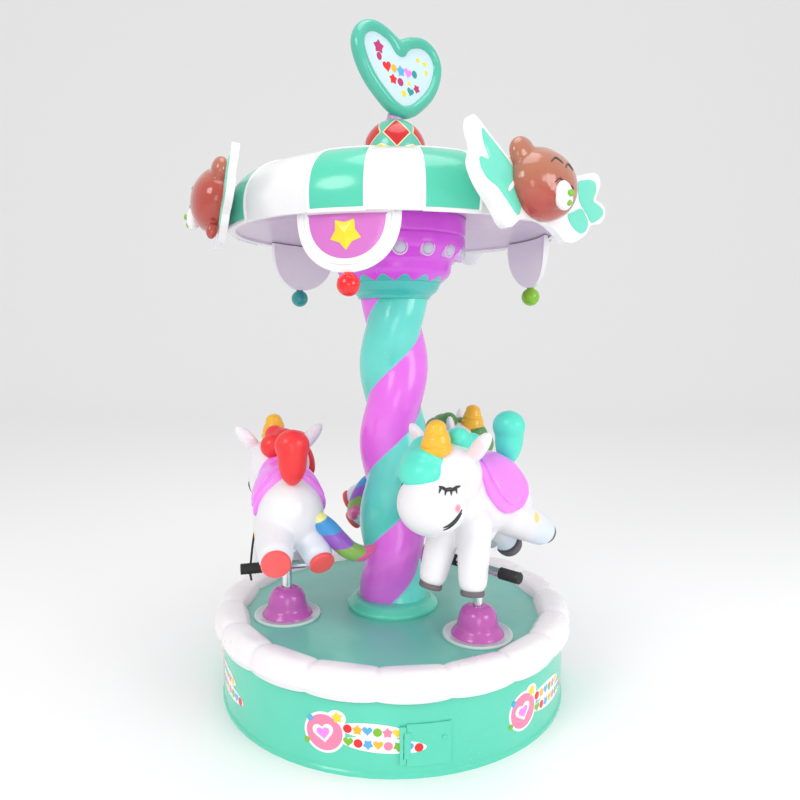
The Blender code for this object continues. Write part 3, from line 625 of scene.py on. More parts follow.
def evenly(points: Sequence[Flat], count: int) -> list[Flat]:
    """Points spread evenly round a closed outline.

    Args:
        points: The outline.
        count: How many points to return.

    Returns:
        The new outline, from the same start.
    """
    loop = list(points) + [points[0]]
    runs = [dist(p, q) for p, q in zip(loop, loop[1:])]
    total = sum(runs)
    made = []
    k, done = 0, 0.0
    for i in range(count):
        goal = total * i / count
        while done + runs[k] < goal:
            done += runs[k]
            k += 1
        share = (goal - done) / runs[k]
        (ax, ay), (bx, by) = loop[k], loop[k + 1]
        made.append((ax + (bx - ax) * share, ay + (by - ay) * share))
    return made


def spin(degrees: float, axis: str = "Z") -> Matrix:
    """A turn about an axis through the origin."""
    return Matrix.Rotation(radians(degrees), 4, axis)


def polar(around: float, radius: float, height: float = 0.0) -> Vector:
    """The point at a station angle in radians, a radius and a height."""
    return Vector((radius * sin(around), -radius * cos(around), height))


def verts_in(made: Iterable[object]) -> list[bmesh.types.BMVert]:
    """The vertices among the elements that an operation made."""
    return [item for item in made if isinstance(item, bmesh.types.BMVert)]


def edges_in(made: Iterable[object]) -> list[bmesh.types.BMEdge]:
    """The edges among the elements that an operation made."""
    return [item for item in made if isinstance(item, bmesh.types.BMEdge)]


def blob(bm: Shape, centre: Sequence[float], radii: Sequence[float], lean: Flat = (0.0, 0.0)) -> None:
    """Adds an ellipsoid to a shape that is melted together later.

    Args:
        bm: The shape.
        centre: Its middle.
        radii: Its three half sizes.
        lean: Degrees about X and about Y.
    """
    turn = spin(lean[0], "X") @ spin(lean[1], "Y")
    seat = Matrix.Translation(centre) @ turn @ Matrix.Diagonal([*radii, 1.0])
    bmesh.ops.create_uvsphere(bm, u_segments=28, v_segments=18, radius=1.0, matrix=seat)


def blobs(rows: Iterable[Sequence[Sequence[float]]]) -> Shape:
    """A shape of ellipsoids that is melted together later.

    Args:
        rows: The middle and half sizes of each, and its lean where it leans.

    Returns:
        The shape.
    """
    bm = bmesh.new()
    for row in rows:
        blob(bm, *row)
    return bm


def limb(bm: Shape, start: Sequence[float], end: Sequence[float], thick: float, thin: float) -> None:
    """Adds a rounded tapering limb as a row of balls.

    Args:
        bm: The shape.
        start: The thick end's centre.
        end: The thin end's centre.
        thick: The radius at the start.
        thin: The radius at the end.
    """
    first, last = Vector(start), Vector(end)
    count = max(4, int((last - first).length / 0.012))
    for i in range(count + 1):
        share = i / count
        radius = thick + (thin - thick) * share
        blob(bm, first.lerp(last, share), (radius, radius, radius))


def applied(mesh: Mesh, kind: str, **values: object) -> Mesh:
    """A copy of a mesh with one modifier applied.

    Args:
        mesh: The mesh, which is removed.
        kind: The modifier's type.
        **values: The modifier's settings.

    Returns:
        The new mesh.
    """
    work = bpy.data.objects.new("work", mesh)
    bpy.context.scene.collection.objects.link(work)
    step = work.modifiers.new("step", kind)
    for key, value in values.items():
        setattr(step, key, value)
    graph = bpy.context.evaluated_depsgraph_get()
    made = bpy.data.meshes.new_from_object(work.evaluated_get(graph))
    bpy.data.objects.remove(work)
    return made


def as_mesh(bm: Shape, name: str = "shape") -> Mesh:
    """Turns a bmesh into mesh data.

    Args:
        bm: The shape, which is freed.
        name: The mesh's name.

    Returns:
        The mesh.
    """
    made = bpy.data.meshes.new(name)
    bm.to_mesh(made)
    bm.free()
    return made


def from_mesh(mesh: Mesh) -> Shape:
    """Turns mesh data into a bmesh.

    Args:
        mesh: The mesh, which stays.

    Returns:
        The shape.
    """
    bm = bmesh.new()
    bm.from_mesh(mesh)
    return bm


def melt(bm: Shape, voxel: float, rounds: int) -> Shape:
    """Melts overlapping shapes into one skin and smooths the seams between them.

    Args:
        bm: The shapes, which is freed.
        voxel: The new mesh's step.
        rounds: How often the skin is smoothed.

    Returns:
        The new shape.
    """
    skin = applied(as_mesh(bm), "REMESH", mode="VOXEL", voxel_size=voxel)
    made = from_mesh(skin)
    for _ in range(rounds):
        bmesh.ops.smooth_vert(
            made, verts=made.verts, factor=0.5, use_axis_x=True, use_axis_y=True, use_axis_z=True,
        )
    return outward(made)


def carried(point: Vector, along: Vector, across: Vector, radius: float, other: float = 0.0) -> Matrix:
    """The frame that carries a unit circle to its place on a path.

    Args:
        point: The circle's middle.
        along: The path's direction.
        across: A direction across the path.
        radius: The radius in that direction.
        other: The radius across that direction, or 0 where it is the same.

    Returns:
        The frame.
    """
    basis = Matrix((across, along.cross(across), along)).transposed().to_4x4()
    return Matrix.Translation(point) @ basis @ Matrix.Diagonal([radius, other or radius, radius, 1.0])


def sweep(stops: Sequence[Matrix], sides: int) -> Shape:
    """Draws a skin through a row of circles.

    Args:
        stops: The frames that carry a unit circle to its places.
        sides: How many sides the circle has.

    Returns:
        The skin, open at its ends.
    """
    bm = bmesh.new()
    ring = bmesh.ops.create_circle(bm, cap_ends=False, segments=sides, radius=1.0)["verts"]
    edges = bm.edges[:]
    before = Matrix.Identity(4)
    for i, after in enumerate(stops):
        if i:
            made = bmesh.ops.extrude_edge_only(bm, edges=edges)["geom"]
            ring, edges = verts_in(made), edges_in(made)
        bmesh.ops.transform(bm, matrix=after @ before.inverted(), verts=ring)
        before = after
    return bm


def tube(path: Sequence[Sequence[float]], radii: Sequence[float], sides: int = 10) -> Shape:
    """Sweeps a circle along a path and rounds off its ends.

    Args:
        path: The centre line's points.
        radii: The radius at each point.
        sides: How many sides the circle has.

    Returns:
        The closed tube.
    """
    points = [Vector(p) for p in path]
    across = (points[1] - points[0]).orthogonal().normalized()
    stops = []
    for i, point in enumerate(points):
        along = (points[min(i + 1, len(points) - 1)] - points[max(i - 1, 0)]).normalized()
        across = (across - along * across.dot(along)).normalized()
        stops.append((point, along, across, radii[i]))
    first, last = stops[0], stops[-1]
    caps = [(0.25, 0.8), (0.85, 0.35)]
    head = [(first[0] - first[1] * first[3] * b, *first[1:3], first[3] * a) for a, b in caps]
    foot = [(last[0] + last[1] * last[3] * b, *last[1:3], last[3] * a) for a, b in reversed(caps)]
    bm = sweep([carried(*stop) for stop in head + stops + foot], sides)
    bmesh.ops.holes_fill(bm, edges=bm.edges, sides=sides)
    return outward(bm)


def hoop(
    path: Sequence[Vector], normals: Sequence[Vector], radius: float, sides: int = 8,
    spread: Sequence[float] = (),
) -> Shape:
    """Sweeps a circle or ellipse round a closed path.

    Args:
        path: The centre line.
        normals: A direction across the path at each point.
        radius: The radius along that direction.
        sides: How many sides it has.
        spread: The radius across that direction at each point, where it differs.

    Returns:
        The closed ring.
    """
    count = len(path)
    stops = []
    for i in range(count + 1):
        along = (path[(i + 1) % count] - path[i - 1]).normalized()
        across = normals[i % count]
        across = (across - along * across.dot(along)).normalized()
        other = spread[i % count] if spread else radius
        stops.append(carried(path[i % count], along, across, radius, other))
    return outward(sweep(stops, sides))


def patch(
    outline: Sequence[Flat], where: Surface, height: float, sink: float, count: int, rings: int,
    fall: float = 0.55, power: float = 8.0,
) -> Shape:
    """A thin raised piece that follows a surface inside an outline.

    Args:
        outline: The edge in the surface's own two coordinates.
        where: Gives the point in space at two coordinates and a height over the surface.
        height: How far it stands up at its middle.
        sink: How far its underside lies in the surface.
        count: Points round the edge.
        rings: Rings between the edge and the middle.
        fall: The share of its height that it loses towards its edge.
        power: How late it loses it: 1 makes a peak, more a flat top.

    Returns:
        The closed piece.
    """
    edge = evenly(outline, count)
    middle = (sum(x for x, _ in edge) / count, sum(y for _, y in edge) / count)
    bm = bmesh.new()
    bmesh.ops.create_circle(bm, cap_ends=False, segments=count, radius=1.0)
    loop = bm.edges[:]
    for i in range(rings - 1):
        made = bmesh.ops.extrude_edge_only(bm, edges=loop)["geom"]
        loop = edges_in(made)
        shrink = (1.0 - (i + 1) / rings) / (1.0 - i / rings)
        bmesh.ops.scale(bm, vec=(shrink, shrink, 1.0), verts=verts_in(made))
    made = bmesh.ops.holes_fill(bm, edges=loop, sides=count)["faces"]
    bmesh.ops.poke(bm, faces=made)
    bmesh.ops.recalc_face_normals(bm, faces=bm.faces)

    def spot(point: bmesh.types.BMVert) -> Place:
        """A vertex's two coordinates on the surface, and how far out it is from 0 to 1."""
        far = min(1.0, hypot(point.co.x, point.co.y))
        i = round(atan2(point.co.y, point.co.x) / (2.0 * pi) * count) % count
        x, y = (m + (e - m) * far for m, e in zip(middle, edge[i]))
        return x, y, far

    under = bm.verts[:]
    made = bmesh.ops.extrude_face_region(bm, geom=bm.faces[:])["geom"]
    for point in under:
        x, y, _ = spot(point)
        point.co = where(x, y, -sink)
    for point in verts_in(made):
        x, y, far = spot(point)
        point.co = where(x, y, height * (1.0 - fall * far**power))
    return outward(bm)


def plate(outline: Sequence[Flat], thick: float, bevel: float) -> Shape:
    """A flat plate in X and Z with rounded edges, its front face at y = 0 and its back at y = thick.

    Args:
        outline: The edge's points.
        thick: The thickness.
        bevel: The radius of the edges.

    Returns:
        The closed plate.
    """
    bm = bmesh.new()
    points = [bm.verts.new((x, 0.0, z)) for x, z in outline]
    edges = [bm.edges.new(pair) for pair in zip(points, points[1:] + points[:1])]
    bmesh.ops.triangle_fill(bm, use_beauty=True, use_dissolve=False, edges=edges)
    made = bmesh.ops.extrude_face_region(bm, geom=bm.faces[:])["geom"]
    bmesh.ops.translate(bm, vec=(0.0, thick, 0.0), verts=verts_in(made))
    outward(bm)
    rims = [e for e in bm.edges if len(e.link_faces) == 2 and abs(e.verts[0].co.y - e.verts[1].co.y) < 1e-6]
    rims = [e for e in rims if e.calc_face_angle(0.0) > 1.2]
    bmesh.ops.bevel(
        bm, geom=rims, offset=bevel, offset_type="OFFSET", segments=4, profile=0.5, affect="EDGES",
        clamp_overlap=True, material=-1,
    )
    return outward(bm)


def stamp(mesh: Mesh, name: str, value: Callable[[Vector], float]) -> None:
    """Stores a number at every vertex for a finish to read.

    Args:
        mesh: The mesh.
        name: The attribute's name.
        value: Gives the number at a point.
    """
    layer = mesh.attributes.new(name, "FLOAT", "POINT")
    layer.data.foreach_set("value", [value(point.co) for point in mesh.vertices])


Row = tuple[str, Mesh, Finish, Slot, Sequence[str], float]


def fit(
    name: str, mesh: Mesh, finish: Finish, body: Part, slot: Slot, replaces: Sequence[str] = (),
    crease: float = CREASE,
) -> bpy.types.Object:
    """Makes a finished piece that rides on a body.

    Args:
        name: The piece's name.
        mesh: Its mesh, in place.
        finish: What it is finished with.
        body: The body that it moves with.
        slot: The record's finish that it takes; not used.
        replaces: The CAD nodes that it stands for.
        crease: The angle in degrees past which an edge is sharp.

    Returns:
        The piece.
    """
    mesh.name = name
    made = bpy.data.objects.new(name, mesh)
    bpy.context.scene.collection.objects.link(made)
    mesh.materials.clear()
    mesh.materials.append(finish.material())
    mesh.shade_smooth()
    mesh.set_sharp_from_angle(angle=radians(crease))
    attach(made, body.value)
    if replaces:
        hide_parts(*replaces)
    LOG.info("%s: %d faces on %s", name, len(mesh.polygons), body.value)
    return made


def moved(mesh: Mesh, matrix: Matrix) -> Mesh:
    """A copy of a mesh, carried to its place.

    Args:
        mesh: The mesh, which stays.
        matrix: Carries it.

    Returns:
        The copy.
    """
    made = mesh.copy()
    made.transform(matrix)
    return made


def fit_all(rows: Iterable[Row], tag: str, seat: Matrix, body: Part) -> None:
    """Sets copies of some pieces in a frame.

    Args:
        rows: A name, mesh, finish, slot, names of replaced nodes and crease for each.
        tag: The end of the names.
        seat: Carries the meshes to their place.
        body: The body that they move with.
    """
    for name, mesh, finish, slot, nodes, crease in rows:
        fit(name + tag, moved(mesh, seat), finish, body, slot, [node + tag for node in nodes], crease)


def joined(shapes: Iterable[Shape]) -> Mesh:
    """Puts separate closed shapes in one mesh.

    Args:
        shapes: The shapes, which are freed.

    Returns:
        The mesh that holds them all.
    """
    whole = bmesh.new()
    for shape in shapes:
        part = as_mesh(shape)
        whole.from_mesh(part)
        bpy.data.meshes.remove(part)
    return as_mesh(whole)


def on_drum(radius: float) -> Surface:
    """Coordinates on an upright drum: metres round from the station's middle, and height.

    Args:
        radius: The drum's radius.

    Returns:
        The function that gives the point in space.
    """

    def where(x: float, y: float, up: float) -> Vector:
        """The point at an arc length, a height and a distance over the drum."""
        return polar(x / radius, radius + up, y)

    return where


def on_plate(depth: float) -> Surface:
    """Coordinates on a flat plate that faces -Y.

    Args:
        depth: The y of the plate's face.

    Returns:
        The function that gives the point in space.
    """

    def where(x: float, y: float, up: float) -> Vector:
        """The point at two plate coordinates and a distance over the plate."""
        return Vector((x, depth - up, y))

    return where


def on_skin(skin: BVHTree, frame: Matrix, reach: float = 0.4) -> Surface:
    """Coordinates on a free-form skin, found by looking at it along a frame's Z axis.

    Args:
        skin: The skin's faces.
        frame: Its X and Y axes are the coordinates, and -Z is the direction of sight.
        reach: How far off the look starts.

    Returns:
        The function that gives the point in space.
    """

    def where(x: float, y: float, up: float) -> Vector:
        """The point at two coordinates and a distance over the skin."""
        start = frame @ Vector((x, y, reach))
        sight = -(frame.to_3x3() @ Vector((0.0, 0.0, 1.0)))
        point, normal, _, _ = skin.ray_cast(start, sight)
        if point is None:
            point, normal, _, _ = skin.find_nearest(frame @ Vector((x, y, 0.0)))
        return point + normal * up

    return where


def facing(centre: Sequence[float], direction: Sequence[float], roll: float = 0.0) -> Matrix:
    """A frame whose Z axis points in a direction, with Y as upright as it can be.

    Args:
        centre: The frame's origin.
        direction: Its Z axis.
        roll: Degrees about that axis.

    Returns:
        The frame.
    """
    z = Vector(direction).normalized()
    x = Vector((0.0, 0.0, 1.0)).cross(z).normalized()
    basis = Matrix((x, z.cross(x), z)).transposed().to_4x4()
    return Matrix.Translation(centre) @ basis @ spin(roll)


def arc(
    wide: float, tall: float, start: float, stop: float, steps: int, centre: Flat = (0.0, 0.0),
) -> list[Flat]:
    """Points on an ellipse from one angle to another.

    Args:
        wide: Its half width.
        tall: Its half height.
        start: The first point's angle in degrees.
        stop: The last point's angle.
        steps: How many steps there are between them.
        centre: Its middle.

    Returns:
        The points, one more than there are steps.
    """
    angles = [radians(start + (stop - start) * i / steps) for i in range(steps + 1)]
    return [(centre[0] + wide * cos(a), centre[1] + tall * sin(a)) for a in angles]


def placed(x: float, y: float, centre: Flat, turn: float) -> Flat:
    """A point turned by some degrees about the origin and moved to a centre."""
    c, s = cos(radians(turn)), sin(radians(turn))
    return centre[0] + x * c - y * s, centre[1] + x * s + y * c


def round_outline(wide: float, tall: float, centre: Flat = (0.0, 0.0), turn: float = 0.0) -> list[Flat]:
    """An ellipse.

    Args:
        wide: Its half width.
        tall: Its half height.
        centre: Its middle.
        turn: Degrees that it is turned by.

    Returns:
        The outline.
    """
    return [placed(x, y, centre, turn) for x, y in arc(wide, tall, 0.0, 360.0, 48)[:-1]]


def star_outline(size: float, centre: Flat = (0.0, 0.0), turn: float = 90.0) -> list[Flat]:
    """A plump five-pointed star.

    Args:
        size: From its middle to a point.
        centre: Its middle.
        turn: Degrees of its first point.

    Returns:
        The outline.
    """
    corners = []
    for i in range(10):
        a = radians(turn + 36.0 * i)
        reach = size * (1.0 if i % 2 == 0 else 0.64)
        corners.append((centre[0] + reach * cos(a), centre[1] + reach * sin(a)))
    made = []
    for i, corner in enumerate(corners):
        before, after = corners[i - 1], corners[(i + 1) % 10]
        for share in (0.28, 0.14, 0.05):
            made.append(tuple(c + (b - c) * share * (1 - share) for c, b in zip(corner, before)))
        for share in (0.05, 0.14, 0.28):
            made.append(tuple(c + (a - c) * share * (1 - share) for c, a in zip(corner, after)))
    return made


def heart_outline(
    wide: float, tall: float, centre: Flat = (0.0, 0.0), turn: float = 0.0, blunt: float = 0.0,
) -> list[Flat]:
    """A heart.

    Args:
        wide: Its width.
        tall: Its height.
        centre: Its middle.
        turn: Degrees that it is turned by.
        blunt: How far it tends to an ellipse, from 0 to 1.

    Returns:
        The outline.
    """
    made = []
    count = 72
    for i in range(count):
        a = 2.0 * pi * (i + 0.5) / count
        x = sin(a) ** 3
        y = 13.0 * cos(a) - 5.0 * cos(2 * a) - 2.0 * cos(3 * a) - cos(4 * a)
        y += (14.5 * cos(a) - 2.5 - y) * blunt
        x += (sin(a) - x) * blunt
        made.append(placed(x * wide / 2, (y + 2.5) / 29.0 * tall, centre, turn))
    return made


def at_station(angle: float, radius: float = 0.0, height: float = 0.0, turn: float = 0.0) -> Matrix:
    """A frame at a station angle. Its -Y axis points outwards when turn is 0.

    Args:
        angle: Degrees from -Y, positive towards +X.
        radius: How far from the axis.
        height: How far up.
        turn: More degrees about Z.

    Returns:
        The frame.
    """
    around = radians(angle)
    place = polar(around, radius, height)
    return Matrix.Translation(place) @ Matrix.Rotation(around + radians(turn), 4, "Z")


def angle_of(point: Vector) -> float:
    """The station angle of a point, in degrees."""
    return degrees(atan2(point.x, -point.y))


def repaint(frame: dict, node: str, finish: Finish, slot: Slot) -> None:
    """Gives a CAD node that stays its finish.

    Args:
        frame: The loaded frame.
        node: The node's name.
        finish: Its finish.
        slot: The record's slot; not used.
    """
    found = frame["nodes"][node]
    for place in found.material_slots:
        place.material = finish.material()


# Studio


@dataclass
class Studio:
    """The pale floor with its backdrop, the soft lights and the camera at the photograph's view."""

    eye: Place = (0.0, -2.235, 1.151)
    pitch: float = 84.29
    lens: float = 31.21
    roll: float = 0.25
    shift: float = 0.008
    room: float = 7.0
    bend: float = 0.4
    tall: float = 6.0
    aim_z: float = 1.1
    tone: Colour = (0.95, 0.95, 0.955)

    def build(self) -> None:
        """Sets up the world, floor, lights and camera."""
        bpy.context.scene.view_settings.view_transform = "Standard"
        self.world()
        self.floor()
        self.light("key", (-2.6, -3.4, 3.6), 2.0, 50.0, (1.0, 0.985, 0.96))
        self.light("fill", (3.2, -2.6, 2.2), 2.0, 42.0, (0.95, 0.98, 1.0))
        self.light("top", (0.2, -0.4, 4.6), 2.6, 34.0, (1.0, 1.0, 1.0))
        self.light("front", (0.3, -4.2, 1.2), 1.6, 14.0, (1.0, 1.0, 1.0))
        self.camera()

    def world(self) -> None:
        """An even white surround."""
        world = bpy.data.worlds.new("surround")
        world.use_nodes = True
        sky = world.node_tree.nodes["Background"]
        sky.inputs["Color"].default_value = (1.0, 1.0, 1.0, 1.0)
        sky.inputs["Strength"].default_value = 0.78
        bpy.context.scene.world = world

    def floor(self) -> None:
        """A floor that curves up into a backdrop."""
        bm = bmesh.new()
        half = self.room
        bmesh.ops.create_grid(bm, x_segments=1, y_segments=1, size=half)
        back = [e for e in bm.edges if all(v.co.y > half - 0.01 for v in e.verts)]
        for i in range(12):
            angle = radians(7.5 * (i + 0.5))
            made = bmesh.ops.extrude_edge_only(bm, edges=back)["geom"]
            back = edges_in(made)
            step = (0.0, self.bend * cos(angle), self.bend * sin(angle))
            bmesh.ops.translate(bm, vec=step, verts=verts_in(made))
        made = bmesh.ops.extrude_edge_only(bm, edges=back)["geom"]
        bmesh.ops.translate(bm, vec=(0.0, 0.0, self.tall), verts=verts_in(made))
        mesh = as_mesh(bm, "studio_floor")
        mesh.shade_smooth()
        paper = Gelcoat("studio_paper", self.tone, self.tone, gloss=0.75, coat=0.0, dust=0.0, ripple=0.0)
        mesh.materials.append(paper.material())
        made = bpy.data.objects.new("studio_floor", mesh)
        bpy.context.scene.collection.objects.link(made)

    def light(self, name: str, place: Sequence[float], size: float, power: float, colour: Colour) -> None:
        """Adds one soft area light that points at the object.

        Args:
            name: Its name.
            place: Where it stands.
            size: Its edge length.
            power: Watts.
            colour: Its colour.
        """
        data = bpy.data.lights.new(name, "AREA")
        data.shape = "DISK"
        data.size = size
        data.energy = power
        data.color = colour
        lamp = bpy.data.objects.new(name, data)
        lamp.location = place
        aim = Vector((0.0, 0.0, self.aim_z)) - Vector(place)
        lamp.rotation_euler = aim.to_track_quat("-Z", "Y").to_euler()
        bpy.context.scene.collection.objects.link(lamp)

    def camera(self) -> None:
        """The view that the photograph was taken from."""
        data = bpy.data.cameras.new("camera")
        data.sensor_width = 36.0
        data.lens = self.lens
        data.shift_x = self.shift
        camera = bpy.data.objects.new("camera", data)
        turn = spin(self.pitch, "X") @ spin(self.roll)
        camera.location = self.eye
        camera.rotation_euler = turn.to_euler()
        bpy.context.scene.collection.objects.link(camera)
        bpy.context.scene.camera = camera


# Base


@dataclass
class Base:
    """The fixed drum with its door and its stickers."""

    radius: float = 0.55
    door_radius: float = 0.5535
    film: float = 0.0005
    first: float = -6.3
    groups: int = 6
    door_from: float = 3.85
    door_to: float = 16.15

    def build(self, frame: dict) -> None:
        """Finishes the CAD parts and adds the stickers.

        Args:
            frame: The loaded frame.
        """
        for node in ("base_plate", "drive_post", "turntable_frame"):
            repaint(frame, node, STEEL, Slot.STEEL)
        for node in ("base_skirt", "door_hinge", "service_door"):
            repaint(frame, node, MINT, Slot.MINT)
        self.stickers()

    def motifs(self) -> list[tuple[Finish, list[Flat], float]]:
        """The plain motifs of one sticker group.

        Returns:
            A finish, an outline about the group's middle and a level for each.
        """
        badge = -0.12
        made: list[tuple[Finish, list[Flat], float]] = [
            (VINYL, round_outline(0.058, 0.056, (badge, 0.108)), 1),
            (VINYL, round_outline(0.026, 0.022, (badge + 0.034, 0.152)), 1),
            (PINK, round_outline(0.051, 0.049, (badge, 0.108)), 2),
            (VINYL, heart_outline(0.066, 0.058, (badge - 0.002, 0.106), 12.0, 0.25), 3),
            (ORCHID, heart_outline(0.044, 0.038, (badge - 0.002, 0.106), 12.0, 0.25), 4),
            (YELLOW, star_outline(0.016, (badge + 0.036, 0.154), 100.0), 5),
            (SKY, round_outline(0.009, 0.009, (badge - 0.04, 0.14)), 5),
            (LIME, round_outline(0.008, 0.008, (badge - 0.05, 0.078)), 5),
            (VINYL, round_outline(0.088, 0.021, (0.01, 0.126), -2.0), 1),
            (VINYL, round_outline(0.112, 0.021, (0.038, 0.089), -2.0), 1),
        ]
        upper = (RED, GOLD, SKY, LIME, PINK, YELLOW)
        lower = (LIME, RED, SKY, GOLD, PINK, LIME, SKY, RED)
        for row, first in ((upper, (-0.056, 0.128, -0.0012)), (lower, (-0.054, 0.092, -0.001))):
            for i, finish in enumerate(row):
                x, z = first[0] + 0.0262 * i, first[1] + first[2] * i
                heart = heart_outline(0.027, 0.025, (x, z), 0.0, 0.1)
                dot = round_outline(0.0118, 0.0118, (x, z))
                star = star_outline(0.015, (x, z), 90.0 if row is upper else 126.0)
                shapes = (dot, star, heart) if row is upper else (heart, dot, star)
                made.append((finish, shapes[i % 3], 2))
        return made

    def spans(self, low: float, high: float) -> list[tuple[Part, float, float, float]]:
        """Splits a motif where it crosses the door's edge.

        Args:
            low: The motif's first station angle.
            high: Its last station angle.

        Returns:
            The body, its radius and the angles between which the motif lies on it.
        """
        gap = 0.25
        ranges = (
            (Part.BASE, self.radius, -360.0, self.door_from - gap),
            (Part.DOOR, self.door_radius, self.door_from + gap, self.door_to - gap),
            (Part.BASE, self.radius, self.door_to + gap, 720.0),
        )
        return [row for row in ranges if min(high, row[3]) - max(low, row[2]) > 0.6]

    def stickers(self) -> None:
        """Sets the sticker groups round the drum, split where one meets the door."""
        motifs = self.motifs()
        for group in range(self.groups):
            centre = self.first + 60.0 * group
            kept: dict[tuple[str, Part], list[Shape]] = {}
            finishes: dict[str, Finish] = {}
            for finish, outline, level in motifs:
                low, high = (centre + degrees(end(outline)[0] / self.radius) for end in (min, max))
                finishes[finish.name] = finish
                for body, radius, start, stop in self.spans(low, high):
                    middle = radians(centre) * radius
                    around = [(x * radius / self.radius + middle, z) for x, z in outline]
                    left, right = radians(start) * radius, radians(stop) * radius
                    inside = [(min(max(x, left), right), z) for x, z in around]
                    piece = patch(inside, on_drum(radius), self.film * level, 0.0004, 60, 4)
                    kept.setdefault((finish.name, body), []).append(piece)
            for (name, body), shapes in kept.items():
                title = f"sticker_{group + 1}_{name}_{body.value}"
                slot = Slot.WHITE if finishes[name] is VINYL else Slot.CORAL
                fit(title, joined(shapes), finishes[name], body, slot)


# Deck


@dataclass
class Deck:
    """The floor and its cloud rim."""

    edge: float = 0.4673
    wave: float = 0.016
    top: float = 0.2405
    low: float = 0.214
    lobes: int = 18
    first: float = -64.0
    out: float = 0.011
    up: float = 0.007
    drip: float = 0.006
    groove: float = 0.007

    def build(self, frame: dict) -> None:
        """Finishes the floor and sets the rim on it.

        Args:
            frame: The loaded frame.
        """
        repaint(frame, "deck_floor", MINT_DECK, Slot.MINT)
        self.rim()
        self.lip()

    def lobe(self, point: Vector) -> float:
        """How far out a cloud lobe swells at a point, from 0 to 1."""
        around = atan2(point.x, -point.y) - radians(self.first)
        return sqrt(abs(sin(around * self.lobes / 2)))

    def rim(self) -> None:
        """The cream cloud rim, lathed and then swelled lobe by lobe."""
        edge, top, low = self.edge, self.top, self.low
        corners = [
            (edge, top, 1.0, 0.0, 0.0), (edge + 0.001, top + 0.012, 1.0, 0.0, 0.0),
            (edge + 0.006, top + 0.021, 0.9, 0.2, 0.0), (edge + 0.016, top + 0.031, 0.7, 0.6, 0.0),
            (0.522, top + 0.037, 0.0, 1.0, 0.0), (0.543, top + 0.033, 0.0, 1.0, 0.0),
            (0.556, top + 0.021, 0.0, 1.0, 0.0), (0.566, top - 0.01, 0.0, 1.0, 0.0),
            (0.564, low + 0.01, 0.0, 0.7, 0.6), (0.56, low, 0.0, 0.4, 1.0),
            (0.5565, low + 0.001, 0.0, 0.2, 1.0), (0.557, top - 0.01, 0.0, 0.6, 0.0),
            (0.545, top + 0.014, 0.0, 0.8, 0.0), (0.515, top + 0.027, 0.0, 0.9, 0.0),
            (edge + 0.01, top, 0.7, 0.0, 0.0),
        ]
        fine = rounded(corners, 3, closed=True)
        bm = lathe([(point[0], point[1]) for point in fine], 432)
        nearest = {(round(point[0], 4), round(point[1], 4)): point for point in fine}
        for vert in bm.verts:
            radius = hypot(vert.co.x, vert.co.y)
            key = (round(radius, 4), round(vert.co.z, 4))
            share = nearest.get(key) or min(fine, key=lambda p: dist(p[:2], (radius, vert.co.z)))
            swell = self.lobe(vert.co)
            grown = radius + share[2] * self.wave * (1.0 - swell) + share[3] * self.out * swell
            vert.co.x *= grown / radius
            vert.co.y *= grown / radius
            groove = self.groove * share[3] * (1.0 - share[4]) * max(0.0, 1.0 - swell / 0.62) ** 2
            rise = share[3] * self.up * (1.0 - share[4]) - share[4] * self.drip
            vert.co.z += rise * swell - groove
        fit("cloud_rim_shell", as_mesh(outward(bm)), CREAM, Part.DECK, Slot.CREAM, ["cloud_rim"], SMOOTH)

    def lip(self) -> None:
        """The pale bead where the floor meets the rim."""
        path = []
        for i in range(360):
            around = 2.0 * pi * i / 360
            flat = self.edge + self.wave * (1.0 - self.lobe(polar(around, 1.0)))
            path.append(polar(around, flat, self.top))
        bead = hoop(path, [Vector((0.0, 0.0, 1.0))] * len(path), 0.0042)
        fit("floor_bead", as_mesh(bead), DISH, Part.DECK, Slot.MINT, (), SMOOTH)


# Column


